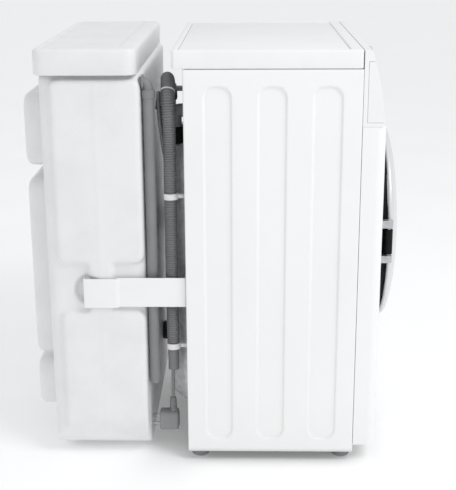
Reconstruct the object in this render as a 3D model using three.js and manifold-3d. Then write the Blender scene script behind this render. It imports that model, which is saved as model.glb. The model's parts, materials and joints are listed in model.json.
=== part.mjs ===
// Front-loading washing machine with a water tank strapped to its back.
// Millimetres. +Z is up, the door faces -Y, and the origin is on the floor under the middle of the whole.
import * as THREE from 'three';
import { mergeVertices } from 'three/addons/utils/BufferGeometryUtils.js';
import Module from 'manifold-3d';

const wasm = await Module();
wasm.setup();

// ---- Driving dimensions ----
const HALF_WIDTH = 300;
const HEIGHT = 850;
const GAP = 0.3;                 // between pieces that touch
const SHEET = 2;                 // cabinet sheet steel
const FOOT_HEIGHT = 22;
const SIDE_TOP = 814;
const SIDE_FRONT = -283.7;
const SIDE_BACK = 57;
const SHELL_JOINT = -284;        // where the front shell meets the cabinet
const FRONT_FACE = -331;
const FRONT_BOTTOM = 38;
const FASCIA_BOTTOM = 705;
const WORKTOP_BOTTOM = 815;
const WORKTOP_BACK = 78;
const BEAD_DEPTH = 4;
const BEADS = [[-248, -189], [-142, -84], [-37, 20]];
const BEAD_BOTTOM = 48;
const BEAD_TOP = 784;
const BASE_HALF = 297;            // half width of the base and of the frame that the tub hangs from
const BASE_FRONT = -278;
const BASE_TOP = 45;
const FRAME_BOTTOM = 808;
const BULGE = { half: 236, bottom: 84, top: 650, corner: 60, depth: 94, slope: 30 };   // over the belt drive

const AXIS_Z = 447;              // height of the drum and door axis
const DRUM_RADIUS = 235;
const DRUM_MOUTH = 165;
const DRUM_FRONT = -255;
const DRUM_BACK = 5;
const TUB_INSIDE = 250;
const TUB_OUTSIDE = 256;
const TUB_MOUTH = 187;
const TUB_FRONT = -268;
const TUB_SPLIT = -120;
const TUB_BACK = 30;
const SHAFT_RADIUS = 15;
const PULLEY_RADIUS = 140;
const PULLEY_FRONT = 44;
const PULLEY_BACK = 58;
const MOTOR_Z = 125;
const MOTOR_RADIUS = 55;
const MOTOR_PULLEY_RADIUS = 14;
const BELT = 4;
const BELT_GAP = 1;             // the belt's round stretches clear the faceted rims
const COUNTERWEIGHT = { spread: 0.46, half: 116, top: 762, chamfer: 16, front: -240, back: -70 };
const DAMPER = { x: 150, y: -150, rod: 8, cylinder: 18 };
const SPRING = { x: 200, y: -25, radius: 14, bottom: 640 };

const DOOR_RADIUS = 215;
const DOOR_HOLE = 172;
const HINGE = { x: -224, y: -352, pin: 4, arms: [[412, 427], [485, 501]], lug: [430, 482] };

const DRAWER_END = -118;
const DRAWER_BOTTOM = 713;
const DRAWER_TOP = 828;
const DRAWER_JOINT = -293;
const TRAY = { left: -278, right: -129, front: -300, back: -72, bottom: 727, top: 778 };

const FASCIA_TILT = THREE.MathUtils.degToRad(10.4);
const KNOB = { x: 50, z: 785, radius: 32, length: 26 };
const BUTTONS = { start_button: 136, temperature_button: 186, spin_button: 236 };
const BUTTON_Z = 742;
const BUTTON_RADIUS = 9;

const TANK_FRONT = 136;
const TANK_BACK = 336;
const TANK_CORE = 283;
const TANK_PANEL = 293;
const TANK_TOP = 803;
const TANK_RIM = 840;
const TANK_WALL = 4;
const LID_TOP = 852;
const LID_FRONT = 144;
const LID_BACK = 342;
const WELL = { y: 252, z: 372, radius: 31, depth: 15, wall: 3 };   // finger well in each of the tank's ends
const STRAP_BOTTOM = 338;
const STRAP_TOP = 399;
const PIPE = { x: -270, y: 124.5, radius: 11, bottom: 166, top: 760 };
const CAP = { x: 90, z: 140, radius: 22 };

const HOSE_RADIUS = 13;
const HOSE_LOOP = { x: -210, z: 725, radius: 60 };
const HOSE_SIDES = 8;
const HORN = { x: -221, z: 724, outer: 24, inner: 17 };   // the hook's smaller arch, for the mains lead
const INLET = { x: -225, y: 77, z: 725 };
const HOSE_ROUTE = [
  [-150, 55.3, 672], [-150, 66, 672], [-150, 78, 675], [-150, 88, 686], [-150, 92, 705], [-150, 92, 725],
  [-158, 92, 755], [-180, 92, 777], [-210, 92, 785], [-240, 90, 777], [-262, 88, 755], [-270, 87, 725],
  [-270, 86, 700], [-270, 86, 580], [-270, 86, 400], [-270, 86, 260], [-270, 86, 196],
];
const GLAND = { x: 180, y: 105, z: 150, length: 34 };
const CORD_RADIUS = 3.5;
const CORD_SIDES = 8;
const CORD_ROUTE = [
  [180, 105, 184.5], [180, 105, 200], [176, 106, 222], [160, 107, 260], [105, 108, 350], [20, 109, 460],
  [-60, 109, 560], [-140, 109, 665], [-183, 109, 722], [-203, 109, 750], [-223, 109, 759],
  [-243, 108, 748], [-252, 106, 715], [-252, 100, 660], [-250, 92, 600], [-250, 89, 500],
  [-250, 88, 360], [-250, 88, 260], [-251, 89, 200], [-252, 90, 123.5],
];
const PLUG = { x: -252, y: 90, front: 79, back: 118, pins: 134, boot: 123, shoulder: 98, bottom: 51 };

// ---- Solids ----
const AXES = {
  x: new THREE.Matrix4().set(0, 0, 1, 0, 1, 0, 0, 0, 0, 1, 0, 0, 0, 0, 0, 1),
  y: new THREE.Matrix4().set(1, 0, 0, 0, 0, 0, 1, 0, 0, 1, 0, 0, 0, 0, 0, 1),
  z: new THREE.Matrix4(),
};

// A closed solid from any closed geometry: shared corners welded, slivers at poles dropped, faces outward.
function solid(geometry) {
  const bare = new THREE.BufferGeometry();
  bare.setAttribute('position', geometry.getAttribute('position'));
  bare.setIndex(geometry.index);
  const welded = mergeVertices(bare, 1e-4);
  const points = welded.getAttribute('position').array;
  const triangles = [];
  let volume = 0;
  const a = new THREE.Vector3();
  const b = new THREE.Vector3();
  const c = new THREE.Vector3();
  for (let i = 0; i < welded.index.count; i += 3) {
    const [p, q, r] = welded.index.array.slice(i, i + 3);
    if (p === q || q === r || r === p) continue;
    a.fromArray(points, 3 * p);
    b.fromArray(points, 3 * q);
    c.fromArray(points, 3 * r);
    volume += a.dot(b.cross(c));
    triangles.push([p, q, r]);
  }
  const ordered = volume > 0 ? triangles : triangles.map(([p, q, r]) => [p, r, q]);
  return new wasm.Manifold(new wasm.Mesh({
    numProp: 3,
    vertProperties: Float32Array.from(points),
    triVerts: Uint32Array.from(ordered.flat()),
  }));
}

function block(low, high) {
  const size = high.map((value, i) => value - low[i]);
  const centre = high.map((value, i) => (value + low[i]) / 2);
  return solid(new THREE.BoxGeometry(...size).translate(...centre));
}

// A flat outline pushed along an axis: the outline is in (X, Y) for z, (X, Z) for y and (Y, Z) for x.
function pushed(shape, axis, from, to, options = {}) {
  const bevel = options.bevel ?? 0;
  const geometry = new THREE.ExtrudeGeometry(shape, {
    depth: to - from - 2 * bevel,
    curveSegments: options.curve ?? 3,
    bevelEnabled: bevel > 0,
    bevelThickness: bevel,
    bevelSize: bevel,
    bevelOffset: -bevel,
    bevelSegments: options.bevelSteps ?? 2,
  });
  geometry.translate(0, 0, from + bevel);
  return solid(geometry.applyMatrix4(AXES[axis]));
}

function roundedRectangle(left, right, bottom, top, radius) {
  const shape = new THREE.Shape();
  shape.moveTo(left + radius, bottom);
  shape.lineTo(right - radius, bottom);
  shape.absarc(right - radius, bottom + radius, radius, -Math.PI / 2, 0);
  shape.lineTo(right, top - radius);
  shape.absarc(right - radius, top - radius, radius, 0, Math.PI / 2);
  shape.lineTo(left + radius, top);
  shape.absarc(left + radius, top - radius, radius, Math.PI / 2, Math.PI);
  shape.lineTo(left, bottom + radius);
  shape.absarc(left + radius, bottom + radius, radius, Math.PI, 1.5 * Math.PI);
  return shape;
}

function polygon(points) {
  return new THREE.Shape(points.map(([u, v]) => new THREE.Vector2(u, v)));
}

// A box with round corners, its outline across the given axis.
function softBlock(low, high, radius, axis, options) {
  const [u, v, w] = { x: [1, 2, 0], y: [0, 2, 1], z: [0, 1, 2] }[axis];
  const outline = roundedRectangle(low[u], high[u], low[v], high[v], radius);
  return pushed(outline, axis, low[w], high[w], options);
}

// A turned solid: the profile gives radius and place along an axis through the centre.
function turned(profile, axis, centre, sides = 32) {
  const points = profile.map(([radius, along]) => new THREE.Vector2(radius, along));
  const geometry = new THREE.LatheGeometry(points, sides);
  if (axis === 'x') geometry.rotateZ(-Math.PI / 2);
  if (axis === 'z') geometry.rotateX(Math.PI / 2);
  return solid(geometry.translate(...centre));
}

function rod(axis, centre, radius, from, to, sides = 20) {
  return turned([[0, from], [radius, from], [radius, to], [0, to]], axis, centre, sides);
}

function pipe(axis, centre, outer, inner, from, to, sides = 20) {
  return turned([[inner, from], [outer, from], [outer, to], [inner, to], [inner, from]], axis, centre, sides);
}

// A round bar along a smooth route.
function bar(route, radius, sides, steps) {
  const path = new THREE.CatmullRomCurve3(route.map((point) => new THREE.Vector3(...point)), false, 'centripetal');
  const section = new THREE.Shape().absarc(0, 0, radius, 0, 2 * Math.PI);
  const geometry = new THREE.ExtrudeGeometry(section, { extrudePath: path, steps, curveSegments: sides / 2 });
  return solid(geometry);
}

function joined(...solids) {
  return solids.reduce((sum, next) => sum.add(next));
}

function cut(body, ...tools) {
  return tools.reduce((rest, tool) => rest.subtract(tool), body);
}

function mirroredPoint([x, y, z], side) {
  return [side * x, y, z];
}

// A box given on the right and built on either side.
function sideBlock(side, low, high) {
  const a = mirroredPoint(low, side);
  const b = mirroredPoint(high, side);
  return block([Math.min(a[0], b[0]), low[1], low[2]], [Math.max(a[0], b[0]), high[1], high[2]]);
}

// ---- Materials ----
const LOOKS = {
  enamel: { color: 0xf2f2f2, roughness: 0.35, metalness: 0.1 },
  white_plastic: { color: 0xefefee, roughness: 0.4, metalness: 0 },
  galvanised: { color: 0x96989a, roughness: 0.5, metalness: 0.8 },
  stainless: { color: 0xb8babc, roughness: 0.3, metalness: 0.9 },
  silver_plastic: { color: 0xd5d7d9, roughness: 0.3, metalness: 0.3 },
  dark_plastic: { color: 0x24262a, roughness: 0.45, metalness: 0 },
  tub_plastic: { color: 0xc9c7c0, roughness: 0.6, metalness: 0 },
  grey_plastic: { color: 0x8a8c8e, roughness: 0.5, metalness: 0 },
  hose_plastic: { color: 0x55575a, roughness: 0.5, metalness: 0 },
  rubber: { color: 0x7d7f81, roughness: 0.8, metalness: 0 },
  belt_rubber: { color: 0x1d1d1d, roughness: 0.85, metalness: 0 },
  glass: { color: 0xdfe6e8, roughness: 0.05, metalness: 0 },
  smoked_glass: { color: 0x16181b, roughness: 0.08, metalness: 0 },
  aluminium: { color: 0xb0b2b4, roughness: 0.45, metalness: 0.9 },
  spring_steel: { color: 0x8c8e90, roughness: 0.4, metalness: 0.9 },
  concrete: { color: 0x9a9791, roughness: 0.95, metalness: 0 },
  cord_jacket: { color: 0x787a7c, roughness: 0.6, metalness: 0 },
  tank_plastic: { color: 0xececea, roughness: 0.5, metalness: 0 },
};

const machine = new THREE.Group();

function place(name, look, body) {
  const mesh = body.getMesh();
  const geometry = new THREE.BufferGeometry();
  geometry.setAttribute('position', new THREE.BufferAttribute(mesh.vertProperties, 3));
  geometry.setIndex(new THREE.BufferAttribute(mesh.triVerts, 1));
  geometry.computeVertexNormals();
  const node = new THREE.Mesh(geometry, new THREE.MeshStandardMaterial(LOOKS[look]));
  node.name = name;
  machine.add(node);
}

// ---- Cabinet ----
function sidePanel(side) {
  const outer = HALF_WIDTH;
  const inner = HALF_WIDTH - SHEET;
  const skin = sideBlock(side, [inner, SIDE_FRONT, FOOT_HEIGHT], [outer, SIDE_BACK, SIDE_TOP]);
  const frontFlange = sideBlock(side, [283, SIDE_FRONT, FOOT_HEIGHT], [inner, SIDE_FRONT + SHEET, SIDE_TOP]);
  const backFlange = sideBlock(side, [278, SIDE_BACK - SHEET, FOOT_HEIGHT], [inner, SIDE_BACK, SIDE_TOP]);
  let panel = joined(skin, frontFlange, backFlange);
  const span = (from, to) => (side > 0 ? [from, to] : [-to, -from]);
  for (const [front, back] of BEADS) {
    const low = [front, BEAD_BOTTOM];
    const high = [back, BEAD_TOP];
    const pan = roundedRectangle(low[0] - SHEET, high[0] + SHEET, low[1] - SHEET, high[1] + SHEET, 27);
    const dish = roundedRectangle(low[0], high[0], low[1], high[1], 25);
    panel = panel.add(pushed(pan, 'x', ...span(inner - BEAD_DEPTH, outer), { curve: 2 }));
    panel = panel.subtract(pushed(dish, 'x', ...span(outer - BEAD_DEPTH, outer + 1), { curve: 2 }));
  }
  return panel;
}

// The rear panel's bulge, pulled in by a wall thickness. Its flanks slope at 45 degrees.
function bulgeForm(inset, back) {
  const { half, bottom, top, corner, depth, slope } = BULGE;
  return softBlock(
    [-half + inset, back - slope, bottom + inset], [half - inset, depth - Math.min(inset, SHEET), top - inset],
    corner - inset, 'y', { bevel: slope, bevelSteps: 1, curve: 2 });
}

function rearPanel() {
  const edge = 276;
  const face = SIDE_BACK - SHEET - GAP;
  const sheet = block([-edge, face - SHEET, FOOT_HEIGHT + 3], [edge, face, SIDE_TOP - 2]);
  const behind = block([-edge, -100, 0], [edge, face - SHEET, HEIGHT]);
  const bulge = bulgeForm(0, face - SHEET).subtract(behind);
  const hollow = bulgeForm(SHEET + 1, face - SHEET - 5);
  const cordHole = rod('y', [GLAND.x, 0, GLAND.z], 5, 40, 110, 12);
  return cut(joined(sheet, bulge), hollow, cordHole);
}

function baseFrame() {
  const body = block([-BASE_HALF, BASE_FRONT, FOOT_HEIGHT], [BASE_HALF, 52, BASE_TOP]);
  const windows = [[-232, -180], [-120, 8]].map(([front, back]) => block([-240, front, 0], [240, back, 60]));
  const bores = feetPlaces().map(([x, y]) => rod('z', [x, y, 0], 5.4, 0, 60, 12));
  return cut(body, ...windows, ...bores);
}

function feetPlaces() {
  return [[-262, -262], [262, -262], [-262, 33], [262, 33]];
}

function foot([x, y]) {
  const profile = [
    [0, 0], [17, 0], [18.5, 2], [18.5, 14], [13, 17], [13, FOOT_HEIGHT - GAP], [5, FOOT_HEIGHT - GAP],
    [5, 40], [0, 40],
  ];
  return turned(profile, 'z', [x, y, 0], 12);
}

function suspensionFrame() {
  const body = block([-BASE_HALF, BASE_FRONT, FRAME_BOTTOM], [BASE_HALF, 50, SIDE_TOP - 2]);
  return body.subtract(block([-176, -250, 700], [176, 20, 900]));
}

function worktop() {
  const slab = softBlock(
    [-HALF_WIDTH, SHELL_JOINT, WORKTOP_BOTTOM], [HALF_WIDTH, WORKTOP_BACK, HEIGHT], 8, 'z', { bevel: 2.5, curve: 3 });
  const inset = block([-287, -260, HEIGHT - 2], [287, 66, HEIGHT + 5]);
  return slab.subtract(inset);
}

// The plan outline of the front shell, pulled in by a wall thickness.
function shellPlan(inset, depth) {
  const side = HALF_WIDTH - inset;
  const front = FRONT_FACE + inset;
  const radius = 20 - inset;
  const shape = new THREE.Shape();
  shape.moveTo(-side, depth);
  shape.lineTo(-side, front + radius);
  shape.absarc(-side + radius, front + radius, radius, Math.PI, 1.5 * Math.PI);
  shape.lineTo(side - radius, front);
  shape.absarc(side - radius, front + radius, radius, 1.5 * Math.PI, 2 * Math.PI);
  shape.lineTo(side, depth);
  return shape;
}

const FLAP = { left: 186, right: 274, bottom: 58, top: 142 };

function frontPanel() {
  const top = FASCIA_BOTTOM - GAP;
  const outer = pushed(shellPlan(0, SHELL_JOINT - GAP), 'z', FRONT_BOTTOM, top);
  const inner = pushed(shellPlan(SHEET, SHELL_JOINT + 10), 'z', FRONT_BOTTOM + SHEET, top - SHEET);
  const mouth = rod('y', [0, 0, AXIS_Z], DOOR_HOLE, -400, -300, 48);
  const hookSlot = block([178, -340, 436], [206, -320, 458]);
  const flapHole = block([FLAP.left, -340, FLAP.bottom], [FLAP.right, -320, FLAP.top]);
  return cut(outer, inner, mouth, hookSlot, flapHole);
}

// ---- Control fascia and detergent drawer ----
// The fascia's face in (Y, Z): a slope that bows outward between its foot and its brow.
const FASCIA_FACE = new THREE.QuadraticBezierCurve(
  new THREE.Vector2(-325, 716), new THREE.Vector2(-322, 775), new THREE.Vector2(-303, 834));

// The side profile of the fascia in (Y, Z), pulled in by a wall thickness.
function fasciaProfile(inset, back) {
  const { v0, v1, v2 } = FASCIA_FACE;
  const shape = new THREE.Shape();
  shape.moveTo(back, FASCIA_BOTTOM + inset);
  shape.lineTo(v0.x + inset, FASCIA_BOTTOM + inset);
  shape.lineTo(v0.x + inset, v0.y);
  shape.quadraticCurveTo(v1.x + inset, v1.y, v2.x + inset, v2.y);
  shape.quadraticCurveTo(-301 + inset, HEIGHT - inset, -294 + inset, HEIGHT - inset);
  shape.lineTo(back, HEIGHT - inset);
  return shape;
}

// A point on the fascia's sloping face and the frame of a control there. The face rises evenly along its curve.
function onFascia(x, z) {
  const share = (z - FASCIA_FACE.v0.y) / (FASCIA_FACE.v2.y - FASCIA_FACE.v0.y);
  return new THREE.Matrix4().makeTranslation(x, FASCIA_FACE.getPoint(share).x, z)
    .multiply(new THREE.Matrix4().makeRotationX(-FASCIA_TILT));
}

function control(profile, x, z, sides) {
  const points = profile.map(([radius, along]) => new THREE.Vector2(radius, along));
  return solid(new THREE.LatheGeometry(points, sides).applyMatrix4(onFascia(x, z)));
}

const DISPLAY = { left: 118, right: 262, bottom: 766, top: 812 };

function fasciaOuter() {
  return pushed(fasciaProfile(0, SHELL_JOINT - GAP), 'x', -HALF_WIDTH, HALF_WIDTH, { curve: 4 });
}

function displayCutter(gap) {
  return block([DISPLAY.left + gap, -360, DISPLAY.bottom + gap], [DISPLAY.right - gap, -290, DISPLAY.top - gap]);
}

function controlFascia() {
  const inner = pushed(fasciaProfile(3, SHELL_JOINT + 10), 'x', -HALF_WIDTH + 3, HALF_WIDTH - 3, { curve: 4 });
  const drawerCut = block(
    [-HALF_WIDTH - 1, -400, DRAWER_BOTTOM - GAP], [DRAWER_END + GAP, DRAWER_JOINT + GAP, DRAWER_TOP + GAP]);
  let fascia = cut(fasciaOuter(), inner, drawerCut, displayCutter(0));
  const hole = (radius) => [[0, -30], [radius, -30], [radius, 30], [0, 30]];
  fascia = fascia.subtract(control(hole(8), KNOB.x, KNOB.z, 16));
  for (const x of Object.values(BUTTONS)) {
    fascia = fascia.subtract(control(hole(BUTTON_RADIUS + 0.5), x, BUTTON_Z, 16));
  }
  return fascia;
}

function displayWindow() {
  const inner = pushed(fasciaProfile(2.5, SHELL_JOINT + 10), 'x', -HALF_WIDTH, HALF_WIDTH, { curve: 4 });
  return fasciaOuter().intersect(displayCutter(GAP)).subtract(inner);
}

function programKnob() {
  const { radius, length } = KNOB;
  const profile = [
    [0, -length], [radius - 5, -length], [radius - 2, -length + 2], [radius, -5], [radius, -1],
    [7, -1], [7, 12], [0, 12],
  ];
  return control(profile, KNOB.x, KNOB.z, 28);
}

function button(x) {
  const r = BUTTON_RADIUS;
  const profile = [[0, -4], [r - 1, -4], [r, -3], [r, 5], [3, 5], [3, 11], [0, 11]];
  return control(profile, x, BUTTON_Z, 12);
}

function drawerFront() {
  const reach = block([-HALF_WIDTH, -400, DRAWER_BOTTOM], [DRAWER_END, DRAWER_JOINT, DRAWER_TOP]);
  const hollow = block([-HALF_WIDTH + 3, TRAY.front, DRAWER_BOTTOM + 3], [DRAWER_END - 3, 0, DRAWER_TOP - 3]);
  return fasciaOuter().intersect(reach).subtract(hollow);
}

function detergentDrawer() {
  const { left, right, front, back, bottom, top } = TRAY;
  const body = softBlock([left, front + GAP, bottom], [right, back, top], 6, 'z', { curve: 3 });
  const walls = [left + 2, -226, -178, right - 2];
  const depths = [6, 3, 18];
  const pockets = depths.map((depth, i) => block(
    [walls[i] + 1, front + 12, bottom + depth], [walls[i + 1] - 1, back - 4, top + 5]));
  return cut(body, ...pockets);
}

function siphonCap() {
  const { back, bottom } = TRAY;
  const plate = block([-175, back - 60, bottom + 34], [-133, back - 5, bottom + 37]);
  const tower = rod('z', [-154, back - 30, 0], 7, bottom + 18 + GAP, bottom + 36, 16);
  return joined(plate, tower);
}

function dispenserHousing() {
  const outer = block([-281, -278, 722], [-124, -64, 786]);
  const inner = block([-279.5, -280, 724], [-125.5, -66, 784.5]);
  const spout = pipe('z', [-200, -100, 0], 14, 11, 700, 723, 16);
  const drain = rod('z', [-200, -100, 0], 11, 690, 730, 16);
  return cut(joined(outer, spout), inner, drain);
}

// ---- Door ----
function doorOuterRing() {
  const profile = [
    [152, -366], [DOOR_RADIUS - 4, -352.3], [DOOR_RADIUS, -354], [DOOR_RADIUS, -358], [DOOR_RADIUS - 6, -363],
    [192, -370], [170, -375], [152, -377], [152, -366],
  ];
  return turned(profile, 'y', [0, 0, AXIS_Z], 40);
}

function handleWindow(gap) {
  return block([177 + gap, -400, AXIS_Z - 42 + gap], [230, -300, AXIS_Z + 42 - gap]);
}

function doorRingWithNotch() {
  return doorOuterRing().subtract(handleWindow(0));
}

function doorHandle() {
  const grip = cut(doorOuterRing().intersect(handleWindow(1)), block([170, -354, 380], [230, -300, 520]));
  const stem = block([184, -362, AXIS_Z - 7], [190, -316, AXIS_Z + 7]);
  const catchTip = block([180.5, -321, AXIS_Z - 7], [190, -316, AXIS_Z + 7]);
  return joined(grip, stem, catchTip);
}

function doorCover() {
  const edge = 151.5;
  const profile = [[0, -374], [100, -372], [edge - 3, -367], [edge, -370], [edge, -376]];
  const dome = [0.75, 0.5, 0.25, 0].map((share) => [edge * share, -381 + 5 * share * share]);
  return turned([...profile, ...dome], 'y', [0, 0, AXIS_Z], 40);
}

function doorInnerFrame() {
  const profile = [[164, -337], [200, -337], [205, -341], [205, -352], [164, -352], [164, -337]];
  const ring = turned(profile, 'y', [0, 0, AXIS_Z], 48);
  const [low, high] = HINGE.lug;
  const lug = block([HINGE.x - 8, HINGE.y - 5, low], [-198, HINGE.y + 7, high]);
  const trimmed = cut(lug, block([-216.5, -400, low - 1], [-190, -352, high + 1]));
  const bore = rod('z', [HINGE.x, HINGE.y, 0], HINGE.pin + 0.4, 400, 520, 16);
  const hookSlot = block([178, -360, AXIS_Z - 11], [198, -330, AXIS_Z + 11]);
  return cut(joined(ring, trimmed), bore, hookSlot);
}

function doorGlass() {
  const outer = [
    [163.5, -350], [163.5, -345], [152, -342], [148, -335], [138, -300], [118, -240], [104, -222], [70, -213],
    [0, -210],
  ];
  const inner = [[0, -216], [68, -219], [99, -228], [112, -244], [132, -302], [143, -340], [146, -347], [148, -350]];
  return turned([...outer, ...inner, outer[0]], 'y', [0, 0, AXIS_Z], 24);
}

function doorHinge() {
  const { x, y, pin, arms } = HINGE;
  const plate = softBlock([x - 14, FRONT_FACE - 4, 400], [x + 14, FRONT_FACE - GAP, 512], 6, 'y', { curve: 3 });
  const knuckles = arms.map(([low, high]) => joined(
    block([x - 8, y, low], [x + 8, FRONT_FACE - 2, high]),
    rod('z', [x, y, 0], 8, low, high, 16),
  ));
  const pinRod = rod('z', [x, y, 0], pin, arms[0][0], arms[1][1] + 2, 16);
  return joined(plate, ...knuckles, pinRod);
}

function doorLock() {
  const back = FRONT_FACE + SHEET + GAP;
  const body = block([176, back, 418], [226, -302, 482]);
  const slot = block([178, back - 1, 434], [206, -308, 460]);
  return body.subtract(slot);
}

function doorGasket() {
  const profile = [
    [156, -332], [DOOR_HOLE - 0.6, -332], [DOOR_HOLE - 0.6, -327], [171, -300], [171, -276], [160, -276],
    [163, -300], [156, -322], [156, -332],
  ];
  return turned(profile, 'y', [0, 0, AXIS_Z], 28);
}

// ---- Wash unit ----
function tubFront() {
  const profile = [
    [TUB_MOUTH, TUB_FRONT], [TUB_OUTSIDE - 20, TUB_FRONT], [TUB_OUTSIDE, TUB_FRONT + 20],
    [TUB_OUTSIDE, TUB_SPLIT - 8], [TUB_OUTSIDE + 5, TUB_SPLIT - 6], [TUB_OUTSIDE + 5, TUB_SPLIT - GAP],
    [TUB_INSIDE, TUB_SPLIT - GAP], [TUB_INSIDE, TUB_FRONT + 22], [TUB_INSIDE - 18, TUB_FRONT + 6],
    [TUB_MOUTH, TUB_FRONT + 6], [TUB_MOUTH, TUB_FRONT],
  ];
  const shell = turned(profile, 'y', [0, 0, AXIS_Z], 32);
  const lugTop = AXIS_Z - Math.sqrt(TUB_OUTSIDE ** 2 - DAMPER.x ** 2) + 6;
  const lugs = [-1, 1].map((side) => sideBlock(
    side, [DAMPER.x - 15, DAMPER.y - 12, 225], [DAMPER.x + 15, DAMPER.y + 12, lugTop]));
  const inside = rod('y', [0, 0, AXIS_Z], TUB_INSIDE + 2, TUB_FRONT + 20, TUB_SPLIT, 32);
  return joined(shell, ...lugs.map((lug) => lug.subtract(inside)));
}

function tubRear() {
  const wall = TUB_BACK - 6;
  const profile = [
    [TUB_INSIDE, TUB_SPLIT], [TUB_OUTSIDE + 5, TUB_SPLIT], [TUB_OUTSIDE + 5, TUB_SPLIT + 6],
    [TUB_OUTSIDE, TUB_SPLIT + 8], [TUB_OUTSIDE, wall - 12], [TUB_OUTSIDE - 18, TUB_BACK], [48, TUB_BACK],
    [44, TUB_BACK + 10], [SHAFT_RADIUS + 0.6, TUB_BACK + 10], [SHAFT_RADIUS + 0.6, wall],
    [TUB_INSIDE - 15, wall], [TUB_INSIDE, wall - 15], [TUB_INSIDE, TUB_SPLIT],
  ];
  const shell = turned(profile, 'y', [0, 0, AXIS_Z], 32);
  const lugBottom = AXIS_Z + Math.sqrt(TUB_OUTSIDE ** 2 - SPRING.x ** 2) - 16;
  const lugs = [-1, 1].map((side) => sideBlock(
    side, [SPRING.x - 12, SPRING.y - 12, lugBottom], [SPRING.x + 12, SPRING.y + 12, SPRING.bottom - GAP]));
  const inside = rod('y', [0, 0, AXIS_Z], TUB_INSIDE + 2, TUB_SPLIT, wall, 32);
  return joined(shell, ...lugs.map((lug) => lug.subtract(inside)));
}

function drum() {
  const r = DRUM_RADIUS;
  const profile = [
    [DRUM_MOUTH, DRUM_FRONT], [r - 12, DRUM_FRONT], [r, DRUM_FRONT + 12], [r, DRUM_BACK - 6], [r - 8, DRUM_BACK],
    [0, DRUM_BACK], [0, DRUM_BACK - 2], [r - 9, DRUM_BACK - 2], [r - 2, DRUM_BACK - 8], [r - 2, DRUM_FRONT + 13],
    [r - 13, DRUM_FRONT + 2], [DRUM_MOUTH, DRUM_FRONT + 2], [DRUM_MOUTH, DRUM_FRONT],
  ];
  let shell = turned(profile, 'y', [0, 0, AXIS_Z], 32);
  const ridge = polygon([[-24, -1], [24, -1], [9, 38], [-9, 38]].map(([u, v]) => [u, r - 1 - 2 - v]));
  for (let i = 0; i < 3; i += 1) {
    const geometry = new THREE.ExtrudeGeometry(ridge, { depth: 216, bevelEnabled: false });
    geometry.translate(0, 0, DRUM_FRONT + 20).applyMatrix4(AXES.y);
    geometry.rotateY((i * 2 * Math.PI) / 3).translate(0, 0, AXIS_Z);
    shell = shell.add(solid(geometry));
  }
  return shell;
}

function drumSpider() {
  const front = DRUM_BACK + GAP;
  const hub = rod('y', [0, 0, AXIS_Z], 42, front, 20, 24);
  const shaft = rod('y', [0, 0, AXIS_Z], SHAFT_RADIUS, 10, 62, 24);
  let spider = joined(hub, shaft);
  for (let i = 0; i < 3; i += 1) {
    const arm = polygon([[-22, 20], [22, 20], [13, 218], [-13, 218]]);
    const geometry = new THREE.ExtrudeGeometry(arm, { depth: 10, bevelEnabled: false });
    geometry.translate(0, 0, front).applyMatrix4(AXES.y);
    geometry.rotateY((i * 2 * Math.PI) / 3 + Math.PI).translate(0, 0, AXIS_Z);
    spider = spider.add(solid(geometry));
  }
  return spider;
}

function drumPulley() {
  const rim = pipe('y', [0, 0, AXIS_Z], PULLEY_RADIUS, PULLEY_RADIUS - 10, PULLEY_FRONT, PULLEY_BACK, 28);
  const hub = pipe('y', [0, 0, AXIS_Z], 32, SHAFT_RADIUS + GAP, PULLEY_FRONT, PULLEY_BACK, 16);
  const spokes = [];
  for (let i = 0; i < 5; i += 1) {
    const arm = polygon([[-11, 24], [11, 24], [8, PULLEY_RADIUS - 5], [-8, PULLEY_RADIUS - 5]]);
    const geometry = new THREE.ExtrudeGeometry(arm, { depth: 6, bevelEnabled: false });
    geometry.translate(0, 0, PULLEY_FRONT + 4).applyMatrix4(AXES.y);
    spokes.push(solid(geometry.rotateY((i * 2 * Math.PI) / 5).translate(0, 0, AXIS_Z)));
  }
  return joined(rim, hub, ...spokes);
}

// The belt runs straight between the two pulleys where their common tangents touch.
function beltOutline(thickness) {
  const big = PULLEY_RADIUS + BELT_GAP + thickness;
  const small = MOTOR_PULLEY_RADIUS + BELT_GAP + thickness;
  const lean = Math.asin((big - small) / (AXIS_Z - MOTOR_Z));
  const shape = new THREE.Shape();
  shape.absarc(0, AXIS_Z, big, -lean, Math.PI + lean, false);
  shape.absarc(0, MOTOR_Z, small, Math.PI + lean, 2 * Math.PI - lean, false);
  shape.closePath();
  return shape;
}

function driveBelt() {
  const loop = pushed(beltOutline(BELT), 'y', PULLEY_FRONT + 1, PULLEY_BACK - 1, { curve: 10 });
  return loop.subtract(pushed(beltOutline(0), 'y', PULLEY_FRONT - 4, PULLEY_BACK + 4, { curve: 10 }));
}

function motor() {
  const can = turned(
    [[0, -90], [MOTOR_RADIUS - 6, -90], [MOTOR_RADIUS, -84], [MOTOR_RADIUS, 16], [MOTOR_RADIUS - 8, 24], [0, 24]],
    'y', [0, 0, MOTOR_Z], 32);
  const shaft = rod('y', [0, 0, MOTOR_Z], 5, 20, 41, 12);
  const lugs = [-1, 1].map((side) => sideBlock(side, [40, -70, 172], [54, 0, 186]));
  const ears = [-1, 1].map((side) => sideBlock(side, [38, -70, 150], [54, 0, 175]));
  return joined(can, shaft, ...lugs, ...ears);
}

function motorPulley() {
  const profile = [
    [0, 42], [8, 42], [MOTOR_PULLEY_RADIUS, 43], [MOTOR_PULLEY_RADIUS, 59], [8, 60], [0, 60],
  ];
  return turned(profile, 'y', [0, 0, MOTOR_Z], 24);
}

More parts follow.
